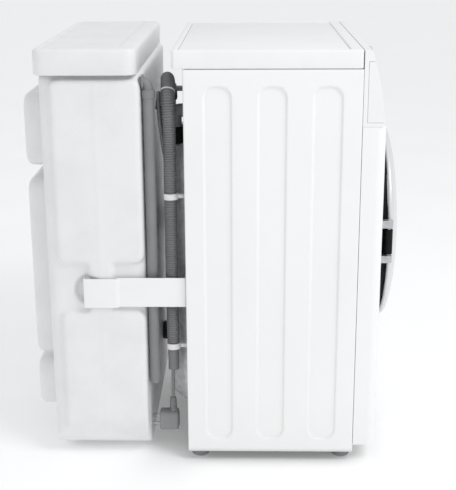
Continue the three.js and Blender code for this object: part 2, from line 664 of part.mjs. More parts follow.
// A concrete block that sits on the tub like a saddle; spread is half the angle it covers.
function counterweight() {
  const { spread, half, top, chamfer, front, back } = COUNTERWEIGHT;
  const shape = new THREE.Shape();
  shape.absarc(0, AXIS_Z, TUB_OUTSIDE + 6, Math.PI / 2 - spread, Math.PI / 2 + spread, false);
  shape.lineTo(-half, top - 10);
  shape.lineTo(-half + chamfer, top);
  shape.lineTo(half - chamfer, top);
  shape.lineTo(half, top - 10);
  shape.closePath();
  return pushed(shape, 'y', front, back, { curve: 8 });
}

function spring(side) {
  return rod('z', [side * SPRING.x, SPRING.y, 0], SPRING.radius, SPRING.bottom, FRAME_BOTTOM - GAP, 12);
}

function damperCylinder(side) {
  const centre = [side * DAMPER.x, DAMPER.y, 0];
  const body = rod('z', centre, DAMPER.cylinder, BASE_TOP + GAP, 170, 20);
  return body.subtract(rod('z', centre, DAMPER.rod + 0.6, 60, 200, 20));
}

function damperRod(side) {
  return rod('z', [side * DAMPER.x, DAMPER.y, 0], DAMPER.rod, 85, 225 - GAP, 16);
}

// ---- Water ----
const PUMP = { x: 230, z: 100 };

function drainPump() {
  const centre = [PUMP.x, 0, PUMP.z];
  const chamber = rod('y', centre, 38, -262, -190, 28);
  const bore = rod('y', centre, 31, -280, -215, 28);
  const pumpMotor = rod('y', centre, 28, -195, -150, 20);
  const stand = block([PUMP.x - 25, -255, BASE_TOP + GAP], [PUMP.x + 25, -195, 75]);
  return cut(joined(chamber, pumpMotor, stand), bore);
}

function pumpFilter() {
  const centre = [PUMP.x, 0, PUMP.z];
  const cap = turned([[0, -300], [32, -300], [36, -297], [36, -264], [0, -264]], 'y', centre, 28);
  const grip = block([PUMP.x - 26, -312, PUMP.z - 4], [PUMP.x + 26, -299, PUMP.z + 4]);
  const strainer = rod('y', centre, 28, -266, -220, 24);
  return joined(cap, grip, strainer);
}

function filterFlap() {
  const gap = 0.8;
  return softBlock(
    [FLAP.left + gap, FRONT_FACE, FLAP.bottom + gap], [FLAP.right - gap, FRONT_FACE + 3, FLAP.top - gap],
    3, 'y', { curve: 2 });
}

function waterInlet() {
  const { x, y, z } = INLET;
  const flange = rod('y', [x, 0, z], 15, 55, 70, 20);
  const elbow = solid(new THREE.SphereGeometry(17, 14, 8).translate(x, y, z));
  const spigot = rod('z', [x, y, 0], 11, z - 70, z, 20);
  const nut = rod('z', [x, y, 0], 15, z - 65, z - 31, 6);
  return joined(flange, elbow, spigot, nut);
}

function drainHose() {
  return bar(HOSE_ROUTE, HOSE_RADIUS, HOSE_SIDES, 36);
}

// The upper part of a ring in (X, Z), its ends an angle above the level.
function arch(x, z, outer, inner, trim) {
  const shape = new THREE.Shape();
  shape.absarc(x, z, outer, trim, Math.PI - trim, false);
  shape.absarc(x, z, inner, Math.PI - trim, trim, true);
  shape.closePath();
  return shape;
}

function hoseHook() {
  const { x, z, radius } = HOSE_LOOP;
  const outer = radius - HOSE_RADIUS - 1.8;
  const cradle = pushed(arch(x, z, outer, outer - 8, 0.3), 'y', 77, 103, { curve: 8 });
  const stem = block([x - 14, 55, z + outer - 8], [x + 14, 80, z + outer - 1]);
  const horn = pushed(arch(HORN.x, HORN.z, HORN.outer, HORN.inner, 0.25), 'y', 102, 114, { curve: 6 });
  const bridge = block([HORN.x - 5, 100, HORN.z + HORN.inner], [HORN.x + 5, 103, z + outer - 2]);
  return joined(cradle, stem, horn, bridge);
}

function mainsCord() {
  return bar(CORD_ROUTE, CORD_RADIUS, CORD_SIDES, 48);
}

function cordGland() {
  const { x, y, z, length } = GLAND;
  const face = BULGE.depth + GAP;
  const flange = softBlock([x - 16, face, z - 16], [x + 16, face + 4, z + 16], 5, 'y', { curve: 1 });
  const stub = rod('y', [x, 0, z], 4.7, face - 5, face + 2, 12);
  const elbow = block([x - 8, face + 3, z - 8], [x + 8, y + 7, z + 8]);
  const relief = turned([[0, z], [7, z], [4.6, z + length], [0, z + length]], 'z', [x, y, 0], 16);
  return joined(flange, stub, elbow, relief);
}

function mainsPlug() {
  const { x, y, front, back, pins, boot, shoulder, bottom } = PLUG;
  const neck = turned(
    [[0, shoulder - 8], [8.5, shoulder - 8], [8, shoulder], [6.5, boot], [0, boot]], 'z', [x, y, 0], 16);
  const body = softBlock(
    [x - 18, front, bottom], [x + 18, back, shoulder - 4], 15, 'y', { bevel: 3, bevelSteps: 1, curve: 2 });
  const middle = (bottom + shoulder - 4) / 2;
  const prongs = [-1, 1].map((side) => rod('y', [x + side * 7.3, 0, middle + side * 6], 2.4, back - 2, pins, 8));
  return joined(neck, body, ...prongs);
}

// ---- Tank ----
// The moulded form of the tank, pulled in by a wall thickness.
function tankForm(inset) {
  const core = softBlock(
    [-TANK_CORE + inset, TANK_FRONT + inset, inset],
    [TANK_CORE - inset, TANK_BACK - inset, TANK_TOP - inset], 24 - inset, 'z', { curve: 2 });
  const panelReach = TANK_PANEL - inset;
  const upper = softBlock(
    [-panelReach, TANK_FRONT + 3 + inset, 429 + inset], [panelReach, 313 - inset, 795 - inset],
    20 - inset, 'x', { bevel: inset ? 0 : 6, bevelSteps: 1, curve: 2 });
  const lower = softBlock(
    [-panelReach, TANK_FRONT + 3 + inset, inset], [panelReach, 310 - inset, 326 - inset],
    18 - inset, 'x', { bevel: inset ? 0 : 6, bevelSteps: 1, curve: 2 });
  const neck = block([-panelReach, 204 + inset, 300], [panelReach, 250 - inset, 450]);
  const ribs = [[607, 755], [200, 580], [80, 190]].map(([low, high]) => softBlock(
    [-210 + inset, 300, low + inset], [210 - inset, 381 - inset, high - inset],
    30 - inset, 'y', { bevel: inset ? 7 : 10, bevelSteps: 1, curve: 2 }));
  return joined(core, upper, lower, neck, ...ribs).intersect(endView(inset)).intersect(sideView(inset));
}

// The tank's end view in (X, Z): its lower corners are wide quarter rounds.
function endView(inset) {
  const side = TANK_PANEL - inset;
  const radius = 105 - inset;
  const shape = new THREE.Shape();
  shape.moveTo(-side + radius, inset);
  shape.lineTo(side - radius, inset);
  shape.absarc(side - radius, inset + radius, radius, -Math.PI / 2, 0);
  shape.lineTo(side, 900);
  shape.lineTo(-side, 900);
  shape.absarc(-side + radius, inset + radius, radius, Math.PI, 1.5 * Math.PI);
  return pushed(shape, 'y', 100, 400, { curve: 3 });
}

// The tank's side view in (Y, Z): a tight round at the lower front edge and a wide one at the lower back.
function sideView(inset) {
  const front = TANK_FRONT + inset;
  const back = TANK_BACK - inset;
  const tight = 20 - inset;
  const wide = 40 - inset;
  const shape = new THREE.Shape();
  shape.moveTo(front, 900);
  shape.lineTo(front, inset + tight);
  shape.absarc(front + tight, inset + tight, tight, Math.PI, 1.5 * Math.PI);
  shape.lineTo(back - wide, inset);
  shape.absarc(back - wide, inset + wide, wide, -Math.PI / 2, 0);
  shape.lineTo(back, 60);
  shape.lineTo(400, 60);
  shape.lineTo(400, 900);
  return pushed(shape, 'x', -400, 400, { curve: 3 });
}

function tankBody() {
  const low = [-TANK_CORE + 4, 152, TANK_TOP - 10];
  const high = [TANK_CORE - 4, 332, TANK_RIM];
  const rim = softBlock(low, high, 18, 'z', { curve: 2 });
  const throat = softBlock(
    [low[0] + TANK_WALL, low[1] + TANK_WALL, TANK_TOP - 30], [high[0] - TANK_WALL, high[1] - TANK_WALL, 900],
    14, 'z', { curve: 2 });
  const inletHole = rod('y', [PIPE.x, 0, 786], 9.5, 100, 180, 12);
  const spoutHole = rod('y', [CAP.x, 0, CAP.z], 12, 100, 170, 16);
  const shell = cut(tankForm(0).add(rim), tankForm(TANK_WALL), throat, inletHole, spoutHole);
  const floor = TANK_PANEL - WELL.depth;
  const inSide = (side, radius, low, high) => rod(
    'x', [0, WELL.y, WELL.z], radius, Math.min(side * low, side * high), Math.max(side * low, side * high), 20);
  const wells = [-1, 1].map((side) => inSide(side, WELL.radius, floor, HALF_WIDTH));
  const cups = [-1, 1].map((side) => inSide(side, WELL.radius + WELL.wall, floor - 7, TANK_CORE));
  return cut(shell.add(joined(...cups)), ...wells);
}

function tankLid() {
  const outer = softBlock(
    [-HALF_WIDTH, LID_FRONT, TANK_TOP], [HALF_WIDTH, LID_BACK, LID_TOP], 24, 'z', { curve: 3, bevel: 4 });
  const inner = softBlock(
    [-HALF_WIDTH + 5, LID_FRONT + 4, TANK_TOP - 10], [HALF_WIDTH - 5, LID_BACK - 4, LID_TOP - 5],
    20, 'z', { curve: 3 });
  const groove = block([-HALF_WIDTH + 22, 171, LID_TOP - 1.5], [HALF_WIDTH - 22, 180, LID_TOP + 5]);
  return cut(outer, inner, groove);
}

function outletCap() {
  const profile = [
    [0, 124], [CAP.radius - 3, 124], [CAP.radius, 126], [CAP.radius, TANK_FRONT - GAP], [11, TANK_FRONT - GAP],
    [11, 150], [0, 150],
  ];
  return turned(profile, 'y', [CAP.x, 0, CAP.z], 24);
}

// The strap in plan: it hooks behind the cabinet's back flange and steps out over the tank's neck.
function strap(side) {
  const t = 1.5;
  const run = 289;
  const raised = 296;
  const back = 262;
  const path = [
    [277, SIDE_BACK + GAP], [run + t, SIDE_BACK + GAP], [run + t, 191], [raised + t, 195],
    [raised + t, back], [284, back], [284, back - t], [raised, back - t], [raised, 196], [run, 192],
    [run, SIDE_BACK + GAP + t], [277, SIDE_BACK + GAP + t],
  ];
  return pushed(polygon(path.map(([x, y]) => [side * x, y])), 'z', STRAP_BOTTOM, STRAP_TOP);
}

function suctionPipe() {
  return pipe('z', [PIPE.x, PIPE.y, 0], PIPE.radius, PIPE.radius - 2, PIPE.bottom, PIPE.top, 16);
}

function pipeElbow() {
  const centre = [PIPE.x, PIPE.y, 0];
  const riser = rod('z', centre, PIPE.radius, PIPE.top + GAP, 793, 16);
  const crown = solid(new THREE.SphereGeometry(PIPE.radius, 12, 6).translate(PIPE.x, PIPE.y, 789));
  const stub = rod('y', [PIPE.x, 0, 786], 8.5, PIPE.y, 155, 12);
  return joined(riser, crown, stub);
}

// ---- The whole machine ----
place('left_side_panel', 'enamel', sidePanel(-1));
place('right_side_panel', 'enamel', sidePanel(1));
place('rear_panel', 'galvanised', rearPanel());
place('base_frame', 'galvanised', baseFrame());
feetPlaces().forEach((point, i) => {
  const name = ['foot_front_left', 'foot_front_right', 'foot_back_left', 'foot_back_right'][i];
  place(name, 'grey_plastic', foot(point));
});
place('suspension_frame', 'galvanised', suspensionFrame());
place('worktop', 'white_plastic', worktop());
place('front_panel', 'enamel', frontPanel());

place('control_fascia', 'white_plastic', controlFascia());
place('display_window', 'smoked_glass', displayWindow());
place('program_knob', 'silver_plastic', programKnob());
for (const [name, x] of Object.entries(BUTTONS)) place(name, 'silver_plastic', button(x));

place('drawer_front', 'white_plastic', drawerFront());
place('detergent_drawer', 'white_plastic', detergentDrawer());
place('siphon_cap', 'hose_plastic', siphonCap());
place('dispenser_housing', 'tub_plastic', dispenserHousing());

place('door_outer_ring', 'silver_plastic', doorRingWithNotch());
place('door_cover', 'smoked_glass', doorCover());
place('door_inner_frame', 'dark_plastic', doorInnerFrame());
place('door_glass', 'glass', doorGlass());
place('door_handle', 'silver_plastic', doorHandle());
place('door_hinge', 'grey_plastic', doorHinge());
place('door_lock', 'dark_plastic', doorLock());
place('door_gasket', 'rubber', doorGasket());

place('tub_front', 'tub_plastic', tubFront());
place('tub_rear', 'tub_plastic', tubRear());
place('drum', 'stainless', drum());
place('drum_spider', 'aluminium', drumSpider());
place('drum_pulley', 'aluminium', drumPulley());
place('drive_belt', 'belt_rubber', driveBelt());
place('motor', 'galvanised', motor());
place('motor_pulley', 'stainless', motorPulley());
place('counterweight', 'concrete', counterweight());
place('spring_left', 'spring_steel', spring(-1));
place('spring_right', 'spring_steel', spring(1));
place('damper_cylinder_left', 'hose_plastic', damperCylinder(-1));
place('damper_cylinder_right', 'hose_plastic', damperCylinder(1));
place('damper_rod_left', 'grey_plastic', damperRod(-1));
place('damper_rod_right', 'grey_plastic', damperRod(1));

place('drain_pump', 'tub_plastic', drainPump());
place('pump_filter', 'grey_plastic', pumpFilter());
place('filter_flap', 'enamel', filterFlap());
place('water_inlet', 'grey_plastic', waterInlet());
place('drain_hose', 'hose_plastic', drainHose());
place('hose_hook', 'hose_plastic', hoseHook());
place('mains_cord', 'cord_jacket', mainsCord());
place('cord_gland', 'cord_jacket', cordGland());
place('mains_plug', 'cord_jacket', mainsPlug());

place('tank_body', 'tank_plastic', tankBody());
place('tank_lid', 'tank_plastic', tankLid());
place('outlet_cap', 'dark_plastic', outletCap());
place('strap_left', 'enamel', strap(-1));
place('strap_right', 'enamel', strap(1));
place('suction_pipe', 'grey_plastic', suctionPipe());
place('pipe_elbow', 'grey_plastic', pipeElbow());

export default machine;
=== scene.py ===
"""A front-loading washing machine with a water tank strapped to its back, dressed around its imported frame."""

import json
import math

import bmesh
import bpy
import numpy as np
from mathutils import Matrix, Vector


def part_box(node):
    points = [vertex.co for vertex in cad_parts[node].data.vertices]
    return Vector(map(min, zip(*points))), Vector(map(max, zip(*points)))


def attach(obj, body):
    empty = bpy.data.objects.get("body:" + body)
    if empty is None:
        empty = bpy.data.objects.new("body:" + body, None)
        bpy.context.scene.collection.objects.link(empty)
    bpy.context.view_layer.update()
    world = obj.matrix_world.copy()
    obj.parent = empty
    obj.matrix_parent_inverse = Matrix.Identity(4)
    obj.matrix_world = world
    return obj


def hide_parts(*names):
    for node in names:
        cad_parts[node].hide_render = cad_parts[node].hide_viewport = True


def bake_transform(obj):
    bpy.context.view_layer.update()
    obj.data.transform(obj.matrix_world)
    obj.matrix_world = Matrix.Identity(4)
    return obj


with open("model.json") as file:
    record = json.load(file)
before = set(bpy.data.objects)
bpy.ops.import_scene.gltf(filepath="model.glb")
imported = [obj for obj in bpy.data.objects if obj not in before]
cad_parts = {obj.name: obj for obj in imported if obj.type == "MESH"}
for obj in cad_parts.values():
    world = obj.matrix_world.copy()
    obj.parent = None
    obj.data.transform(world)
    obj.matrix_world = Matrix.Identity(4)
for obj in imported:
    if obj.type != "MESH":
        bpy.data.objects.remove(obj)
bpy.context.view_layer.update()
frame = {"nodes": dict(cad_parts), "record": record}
MM = 0.001

# ---- Camera: the machine from its left side, a little above its top ----
CAMERA_PLACE = (-2.301, -0.067, 1.078)
CAMERA_PITCH = math.radians(16.87)
CAMERA_YAW = math.radians(1.13)
CAMERA_ROLL = math.radians(-0.26)
CAMERA_LENS = 78.24


def make_camera():
    forward = Vector((
        math.cos(CAMERA_PITCH) * math.cos(CAMERA_YAW),
        math.cos(CAMERA_PITCH) * math.sin(CAMERA_YAW),
        -math.sin(CAMERA_PITCH),
    ))
    level = Vector((math.sin(CAMERA_YAW), -math.cos(CAMERA_YAW), 0))
    upright = level.cross(forward)
    right = level * math.cos(CAMERA_ROLL) + upright * math.sin(CAMERA_ROLL)
    up = upright * math.cos(CAMERA_ROLL) - level * math.sin(CAMERA_ROLL)
    camera = bpy.data.objects.new("camera", bpy.data.cameras.new("camera"))
    camera.data.lens = CAMERA_LENS
    camera.data.sensor_width = 36
    turn = Matrix((right, up, -forward)).transposed().to_4x4()
    camera.matrix_world = Matrix.Translation(CAMERA_PLACE) @ turn
    bpy.context.scene.collection.objects.link(camera)
    bpy.context.scene.camera = camera


make_camera()


# ---- Looks ----
def new_look(name, colour, roughness, metallic=0.0, **sockets):
    look = bpy.data.materials.new(name)
    look.use_nodes = True
    shader = look.node_tree.nodes["Principled BSDF"]
    shader.inputs["Base Color"].default_value = (*colour, 1)
    shader.inputs["Roughness"].default_value = roughness
    shader.inputs["Metallic"].default_value = metallic
    for socket, value in sockets.items():
        shader.inputs[socket.replace("_", " ")].default_value = value
    return look


def texture(look, kind, scale, stretch=(1, 1, 1), **settings):
    """A procedural texture node on the object's own coordinates, its size given per metre."""
    nodes, links = look.node_tree.nodes, look.node_tree.links
    place = nodes.new("ShaderNodeTexCoord")
    mapping = nodes.new("ShaderNodeMapping")
    mapping.inputs["Scale"].default_value = stretch
    links.new(place.outputs["Object"], mapping.inputs["Vector"])
    node = nodes.new(kind)
    links.new(mapping.outputs["Vector"], node.inputs["Vector"])
    node.inputs["Scale"].default_value = scale
    for socket, value in settings.items():
        node.inputs[socket].default_value = value
    return node


def bump(look, source, strength, distance, output=0):
    """Adds relief from a texture on top of any relief already there."""
    nodes, links = look.node_tree.nodes, look.node_tree.links
    shader = nodes["Principled BSDF"]
    node = nodes.new("ShaderNodeBump")
    node.inputs["Strength"].default_value = strength
    node.inputs["Distance"].default_value = distance
    links.new(source.outputs[output], node.inputs["Height"])
    if shader.inputs["Normal"].is_linked:
        links.new(shader.inputs["Normal"].links[0].from_socket, node.inputs["Normal"])
    links.new(node.outputs["Normal"], shader.inputs["Normal"])


def tones(look, source, colours, places=(0.35, 0.65)):
    """Base colour between two tones, following a texture."""
    nodes, links = look.node_tree.nodes, look.node_tree.links
    ramp = nodes.new("ShaderNodeValToRGB")
    for element, place, colour in zip(ramp.color_ramp.elements, places, colours):
        element.position = place
        element.color = (*colour, 1)
    links.new(source.outputs[0], ramp.inputs["Fac"])
    links.new(ramp.outputs["Color"], nodes["Principled BSDF"].inputs["Base Color"])


def gloss_patches(look, source, low, high):
    """Roughness that wanders between two values, as on a handled surface."""
    nodes, links = look.node_tree.nodes, look.node_tree.links
    ranged = nodes.new("ShaderNodeMapRange")
    ranged.inputs["To Min"].default_value = low
    ranged.inputs["To Max"].default_value = high
    links.new(source.outputs[0], ranged.inputs["Value"])
    links.new(ranged.outputs["Result"], nodes["Principled BSDF"].inputs["Roughness"])


def shade(colour, factor):
    return tuple(c * factor for c in colour)


def enamel_look():
    white = (0.90, 0.90, 0.90)
    look = new_look("enamel_white", white, 0.34, Coat_Weight=0.25, Coat_Roughness=0.12)
    tones(look, texture(look, "ShaderNodeTexNoise", 5, Detail=3), (shade(white, 0.975), white))
    bump(look, texture(look, "ShaderNodeTexNoise", 420, Detail=2), 0.10, 0.0003)
    gloss_patches(look, texture(look, "ShaderNodeTexNoise", 14, Detail=4), 0.28, 0.42)
    return look


def plastic_look(name, colour, roughness, grain=900, relief=0.12, contrast=0.96, **sockets):
    look = new_look(name, colour, roughness, **sockets)
    tones(look, texture(look, "ShaderNodeTexNoise", 22, Detail=4), (shade(colour, contrast), colour))
    bump(look, texture(look, "ShaderNodeTexNoise", grain, Detail=2), relief, 0.0003)
    gloss_patches(look, texture(look, "ShaderNodeTexNoise", 30, Detail=3), roughness * 0.85, roughness * 1.15)
    return look


def tank_look():
    white = (0.84, 0.84, 0.845)
    look = new_look("tank_polyethylene", white, 0.46, Subsurface_Weight=0.08, Subsurface_Scale=0.004)
    tones(look, texture(look, "ShaderNodeTexNoise", 16, Detail=6), (shade(white, 0.955), white), (0.3, 0.62))
    bump(look, texture(look, "ShaderNodeTexNoise", 60, Detail=3), 0.20, 0.0010)
    bump(look, texture(look, "ShaderNodeTexNoise", 700, Detail=2), 0.16, 0.0004)
    gloss_patches(look, texture(look, "ShaderNodeTexNoise", 25, Detail=5), 0.38, 0.55)
    return look


def galvanised_look(name, colour, roughness=0.5, metallic=0.85):
    look = new_look(name, colour, roughness, metallic)
    cells = texture(look, "ShaderNodeTexVoronoi", 85, Randomness=1.0)
    tones(look, cells, (shade(colour, 0.82), colour), (0.1, 0.8))
    bump(look, texture(look, "ShaderNodeTexNoise", 300, Detail=3), 0.10, 0.0003)
    gloss_patches(look, texture(look, "ShaderNodeTexNoise", 60, Detail=4), roughness * 0.8, roughness * 1.2)
    return look


def brushed_look(name, colour, roughness, stretch):
    look = new_look(name, colour, roughness, 1.0)
    lines = texture(look, "ShaderNodeTexNoise", 60, stretch, Detail=4)
    tones(look, lines, (shade(colour, 0.88), colour))
    bump(look, lines, 0.12, 0.0002)
    gloss_patches(look, lines, roughness * 0.8, roughness * 1.25)
    return look


def rubber_look(name, colour, roughness=0.7):
    return plastic_look(name, colour, roughness, grain=1300, relief=0.25, contrast=0.85)


def concrete_look():
    grey = (0.42, 0.41, 0.39)
    look = new_look("cast_concrete", grey, 0.92)
    tones(look, texture(look, "ShaderNodeTexNoise", 55, Detail=8), (shade(grey, 0.7), shade(grey, 1.15)))
    bump(look, texture(look, "ShaderNodeTexVoronoi", 160), 0.5, 0.0012)
    bump(look, texture(look, "ShaderNodeTexNoise", 500, Detail=5), 0.4, 0.0008)
    return look


def glass_look(name, colour, roughness=0.03):
    look = new_look(name, colour, roughness, Transmission_Weight=0.92, IOR=1.47)
    bump(look, texture(look, "ShaderNodeTexNoise", 18, Detail=2), 0.05, 0.0010)
    gloss_patches(look, texture(look, "ShaderNodeTexNoise", 12, Detail=4), roughness, roughness + 0.04)
    return look


def smoked_look():
    tint = (0.045, 0.05, 0.055)
    look = new_look("smoked_window", tint, 0.07, Transmission_Weight=0.35, IOR=1.49, Coat_Weight=0.6)
    bump(look, texture(look, "ShaderNodeTexNoise", 9, Detail=2), 0.06, 0.0012)
    gloss_patches(look, texture(look, "ShaderNodeTexNoise", 10, Detail=4), 0.04, 0.12)
    return look


LOOKS = {
    "enamel": enamel_look(),
    "worktop_plastic": plastic_look("worktop_white", (0.89, 0.89, 0.89), 0.36, 500, 0.10, 0.98),
    "fascia_plastic": plastic_look(
        "fascia_white", (0.89, 0.89, 0.89), 0.30, 700, 0.07, 0.98, Coat_Weight=0.2),
    "drawer_plastic": plastic_look("drawer_white", (0.88, 0.88, 0.88), 0.32, 700, 0.07, 0.98),
    "galvanised": galvanised_look("zinc_sheet", (0.82, 0.825, 0.83), metallic=0.1),
    "foot_plastic": plastic_look("foot_grey", (0.30, 0.305, 0.31), 0.55),
    "display_glass": smoked_look(),
    "silver_plastic": plastic_look("silver_paint", (0.72, 0.73, 0.74), 0.30, 2200, 0.03, 0.985, Metallic=0.3),
    "housing_plastic": plastic_look("housing_cream", (0.62, 0.61, 0.57), 0.6),
    "dark_plastic": plastic_look(
        "black_plastic", (0.007, 0.0075, 0.008), 0.5, 1200, 0.10, 0.8, Specular_IOR_Level=0.15),
    "door_glass": glass_look("bowl_glass", (0.93, 0.96, 0.96)),
    "hinge_metal": galvanised_look("hinge_zinc", (0.55, 0.56, 0.57), 0.38),
    "gasket_rubber": rubber_look("gasket_grey", (0.16, 0.165, 0.17)),
    "tub_plastic": plastic_look("tub_filled_plastic", (0.58, 0.57, 0.53), 0.62, 300, 0.25, 0.9),
    "stainless": brushed_look("drum_stainless", (0.62, 0.63, 0.64), 0.24, (1, 40, 1)),
    "cast_aluminium": galvanised_look("cast_alloy", (0.55, 0.56, 0.57), 0.48),
    "belt_rubber": rubber_look("belt_black", (0.016, 0.016, 0.017)),
    "motor_metal": brushed_look("motor_shell", (0.40, 0.41, 0.42), 0.42, (1, 8, 1)),
    "pulley_steel": brushed_look("turned_steel", (0.50, 0.51, 0.52), 0.30, (1, 30, 1)),
    "concrete": concrete_look(),
    "spring_steel": brushed_look("spring_wire", (0.36, 0.37, 0.38), 0.35, (1, 1, 12)),
    "damper_plastic": plastic_look("damper_black", (0.055, 0.057, 0.06), 0.5),
    "hose_plastic": plastic_look("hose_grey", (0.19, 0.192, 0.195), 0.42, 900, 0.12, 0.88),
    "cord_jacket": plastic_look("lead_grey", (0.26, 0.265, 0.27), 0.5, 1500, 0.15, 0.9),
    "tank_plastic": tank_look(),
    "pipe_plastic": plastic_look("pipe_grey", (0.25, 0.25, 0.26), 0.48, 800, 0.12, 0.92),
    "cap_plastic": plastic_look("cap_black", (0.02, 0.02, 0.022), 0.45),
    "white_clip": plastic_look("clip_nylon", (0.80, 0.80, 0.79), 0.42),
}
LOOKS["smoked_window"] = LOOKS["display_glass"]


# ---- Making meshes, in millimetres of the row frame ----
def object_from(name, mesh, look, sharp):
    work = bmesh.new()
    work.from_mesh(mesh)
    bmesh.ops.remove_doubles(work, verts=work.verts, dist=1e-6)
    bmesh.ops.recalc_face_normals(work, faces=work.faces)
    work.to_mesh(mesh)
    work.free()
    mesh.shade_smooth()
    mesh.set_sharp_from_angle(angle=math.radians(sharp))
    mesh.materials.clear()
    mesh.materials.append(LOOKS[look])
    piece = bpy.data.objects.new(name, mesh)
    bpy.context.scene.collection.objects.link(piece)
    return piece


def from_lists(name, points, faces, look, sharp=38):
    mesh = bpy.data.meshes.new(name)
    mesh.from_pydata([tuple(c * MM for c in point) for point in points], [], faces)
    return object_from(name, mesh, look, sharp)


def box_mm(node):
    low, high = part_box(node)
    return low / MM, high / MM


def rounded(points, radius, steps=4, closed=True):
    """A 2-D outline with round corners. A third value in a point is that corner's own radius."""
    out = []
    for i, point in enumerate(points):
        here = Vector(point[:2])
        if not closed and i in (0, len(points) - 1):
            out.append(here)
            continue
        before = Vector(points[i - 1][:2]) - here
        after = Vector(points[(i + 1) % len(points)][:2]) - here
        half = before.angle(after) / 2
        corner = point[2] if len(point) > 2 else radius
        reach = min(corner / math.tan(half), 0.48 * before.length, 0.48 * after.length)
        if reach < 1e-4:
            out.append(here)
            continue
        start = here + before.normalized() * reach
        end = here + after.normalized() * reach
        for step in range(steps + 1):
            t = step / steps
            out.append((1 - t) ** 2 * start + 2 * t * (1 - t) * here + t * t * end)
    return [tuple(point) for point in out]


AXIS_PLACES = {"x": (1, 2, 0), "y": (0, 2, 1), "z": (0, 1, 2)}


def on_axis(axis, u, v, along):
    point = [0, 0, 0]
    for place, value in zip(AXIS_PLACES[axis], (u, v, along)):
        point[place] = value
    return point


def turned(name, profile, centre, look, axis="y", steps=96, closed=True, sharp=38, flute=None):
    """A surface turned about an axis: the profile gives radius and place along it."""
    points = []
    faces = []
    count = len(profile)
    cu, cv, _ = (centre[place] for place in AXIS_PLACES[axis])
    base = centre[AXIS_PLACES[axis][2]]
    for step in range(steps):
        angle = 2 * math.pi * step / steps
        for radius, along in profile:
            reach = radius * (flute(angle, radius, along) if flute else 1)
            u, v = cu + reach * math.cos(angle), cv + reach * math.sin(angle)
            points.append(on_axis(axis, u, v, base + along))
    last = count if closed else count - 1
    for step in range(steps):
        here, there = step * count, (step + 1) % steps * count
        for i in range(last):
            j = (i + 1) % count
            faces.append((here + i, here + j, there + j, there + i))
    return from_lists(name, points, faces, look, sharp)


def pushed(name, outline, axis, start, end, look, bevel=0.8, segments=2):
    """A flat outline pushed along an axis, with its edges broken."""
    count = len(outline)
    points = [on_axis(axis, u, v, along) for along in (start, end) for u, v in outline]
    faces = [(i, (i + 1) % count, count + (i + 1) % count, count + i) for i in range(count)]
    faces += [tuple(range(count)), tuple(range(count, 2 * count))]
    return bevelled(from_lists(name, points, faces, look), bevel, segments)


def walled(piece, thickness, offset=0):
    """A skin given its thickness: half to each side, or all of it behind the skin with offset -1."""
    modifier = piece.modifiers.new("wall", "SOLIDIFY")
    modifier.thickness = thickness * MM
    modifier.offset = offset
    return piece


def bevelled(piece, width, segments=2, angle=32):
    if width:
        modifier = piece.modifiers.new("edges", "BEVEL")
        modifier.width = width * MM
        modifier.segments = segments
        modifier.limit_method = "ANGLE"
        modifier.angle_limit = math.radians(angle)
        modifier.harden_normals = True
    return piece


def smooth_path(route, step):
    """Points a step apart on a smooth curve through the route's points."""
    knots = [Vector(point) for point in route]
    knots = [2 * knots[0] - knots[1]] + knots + [2 * knots[-1] - knots[-2]]
    dense = []
    for p0, p1, p2, p3 in zip(knots, knots[1:], knots[2:], knots[3:]):
        t1 = (p1 - p0).length ** 0.5
        t2 = t1 + (p2 - p1).length ** 0.5
        t3 = t2 + (p3 - p2).length ** 0.5
        for i in range(40):
            t = t1 + (t2 - t1) * i / 40
            a = p0 * (t1 - t) / t1 + p1 * t / t1
            b = p1 * (t2 - t) / (t2 - t1) + p2 * (t - t1) / (t2 - t1)
            c = p2 * (t3 - t) / (t3 - t2) + p3 * (t - t2) / (t3 - t2)
            d = a * (t2 - t) / t2 + b * t / t2
            e = b * (t3 - t) / (t3 - t1) + c * (t - t1) / (t3 - t1)
            dense.append(d * (t2 - t) / (t2 - t1) + e * (t - t1) / (t2 - t1))
    dense.append(knots[-2])
    spots = np.array(dense, float)
    travel = np.concatenate([[0], np.cumsum(np.linalg.norm(np.diff(spots, axis=0), axis=1))])
    count = max(2, round(travel[-1] / step) + 1)
    wanted = np.linspace(0, travel[-1], count)
    return [Vector(p) for p in zip(*(np.interp(wanted, travel, spots[:, k]) for k in range(3)))], travel[-1]


def tube(name, path, radius, look, sides=16, sharp=60, ends=True):
    """A round tube along a path. The radius is a number, or a function of the point's index."""
    reach = radius if callable(radius) else (lambda i: radius)
    points = []
    faces = []
    along = (path[1] - path[0]).normalized()
    across = along.orthogonal().normalized()
    for i, centre in enumerate(path):
        ahead = (path[min(i + 1, len(path) - 1)] - path[max(i - 1, 0)]).normalized()
        across = (across - ahead * across.dot(ahead)).normalized()
        other = ahead.cross(across)
        for k in range(sides):
            angle = 2 * math.pi * k / sides
            points.append(centre + (across * math.cos(angle) + other * math.sin(angle)) * reach(i))
    for i in range(len(path) - 1):
        for k in range(sides):
            n = (k + 1) % sides
            faces.append((i * sides + k, i * sides + n, (i + 1) * sides + n, (i + 1) * sides + k))
    if ends:
        faces += [tuple(range(sides)), tuple(range(len(points) - sides, len(points)))]
    return from_lists(name, points, faces, look, sharp)


def cad_copy(node, name, look, bevel=0.6, segments=2, sharp=32):
    """The CAD node's own shape as a new piece, its flat faces merged and its edges broken."""
    mesh = frame["nodes"][node].data.copy()
    work = bmesh.new()
    work.from_mesh(mesh)
    bmesh.ops.remove_doubles(work, verts=work.verts, dist=2e-6)
    bmesh.ops.dissolve_limit(
        work, angle_limit=math.radians(0.6), verts=work.verts, edges=work.edges,
        use_dissolve_boundaries=False)
    work.to_mesh(mesh)
    work.free()
    piece = object_from(name, mesh, look, sharp)
    return bevelled(piece, bevel, segments, sharp)


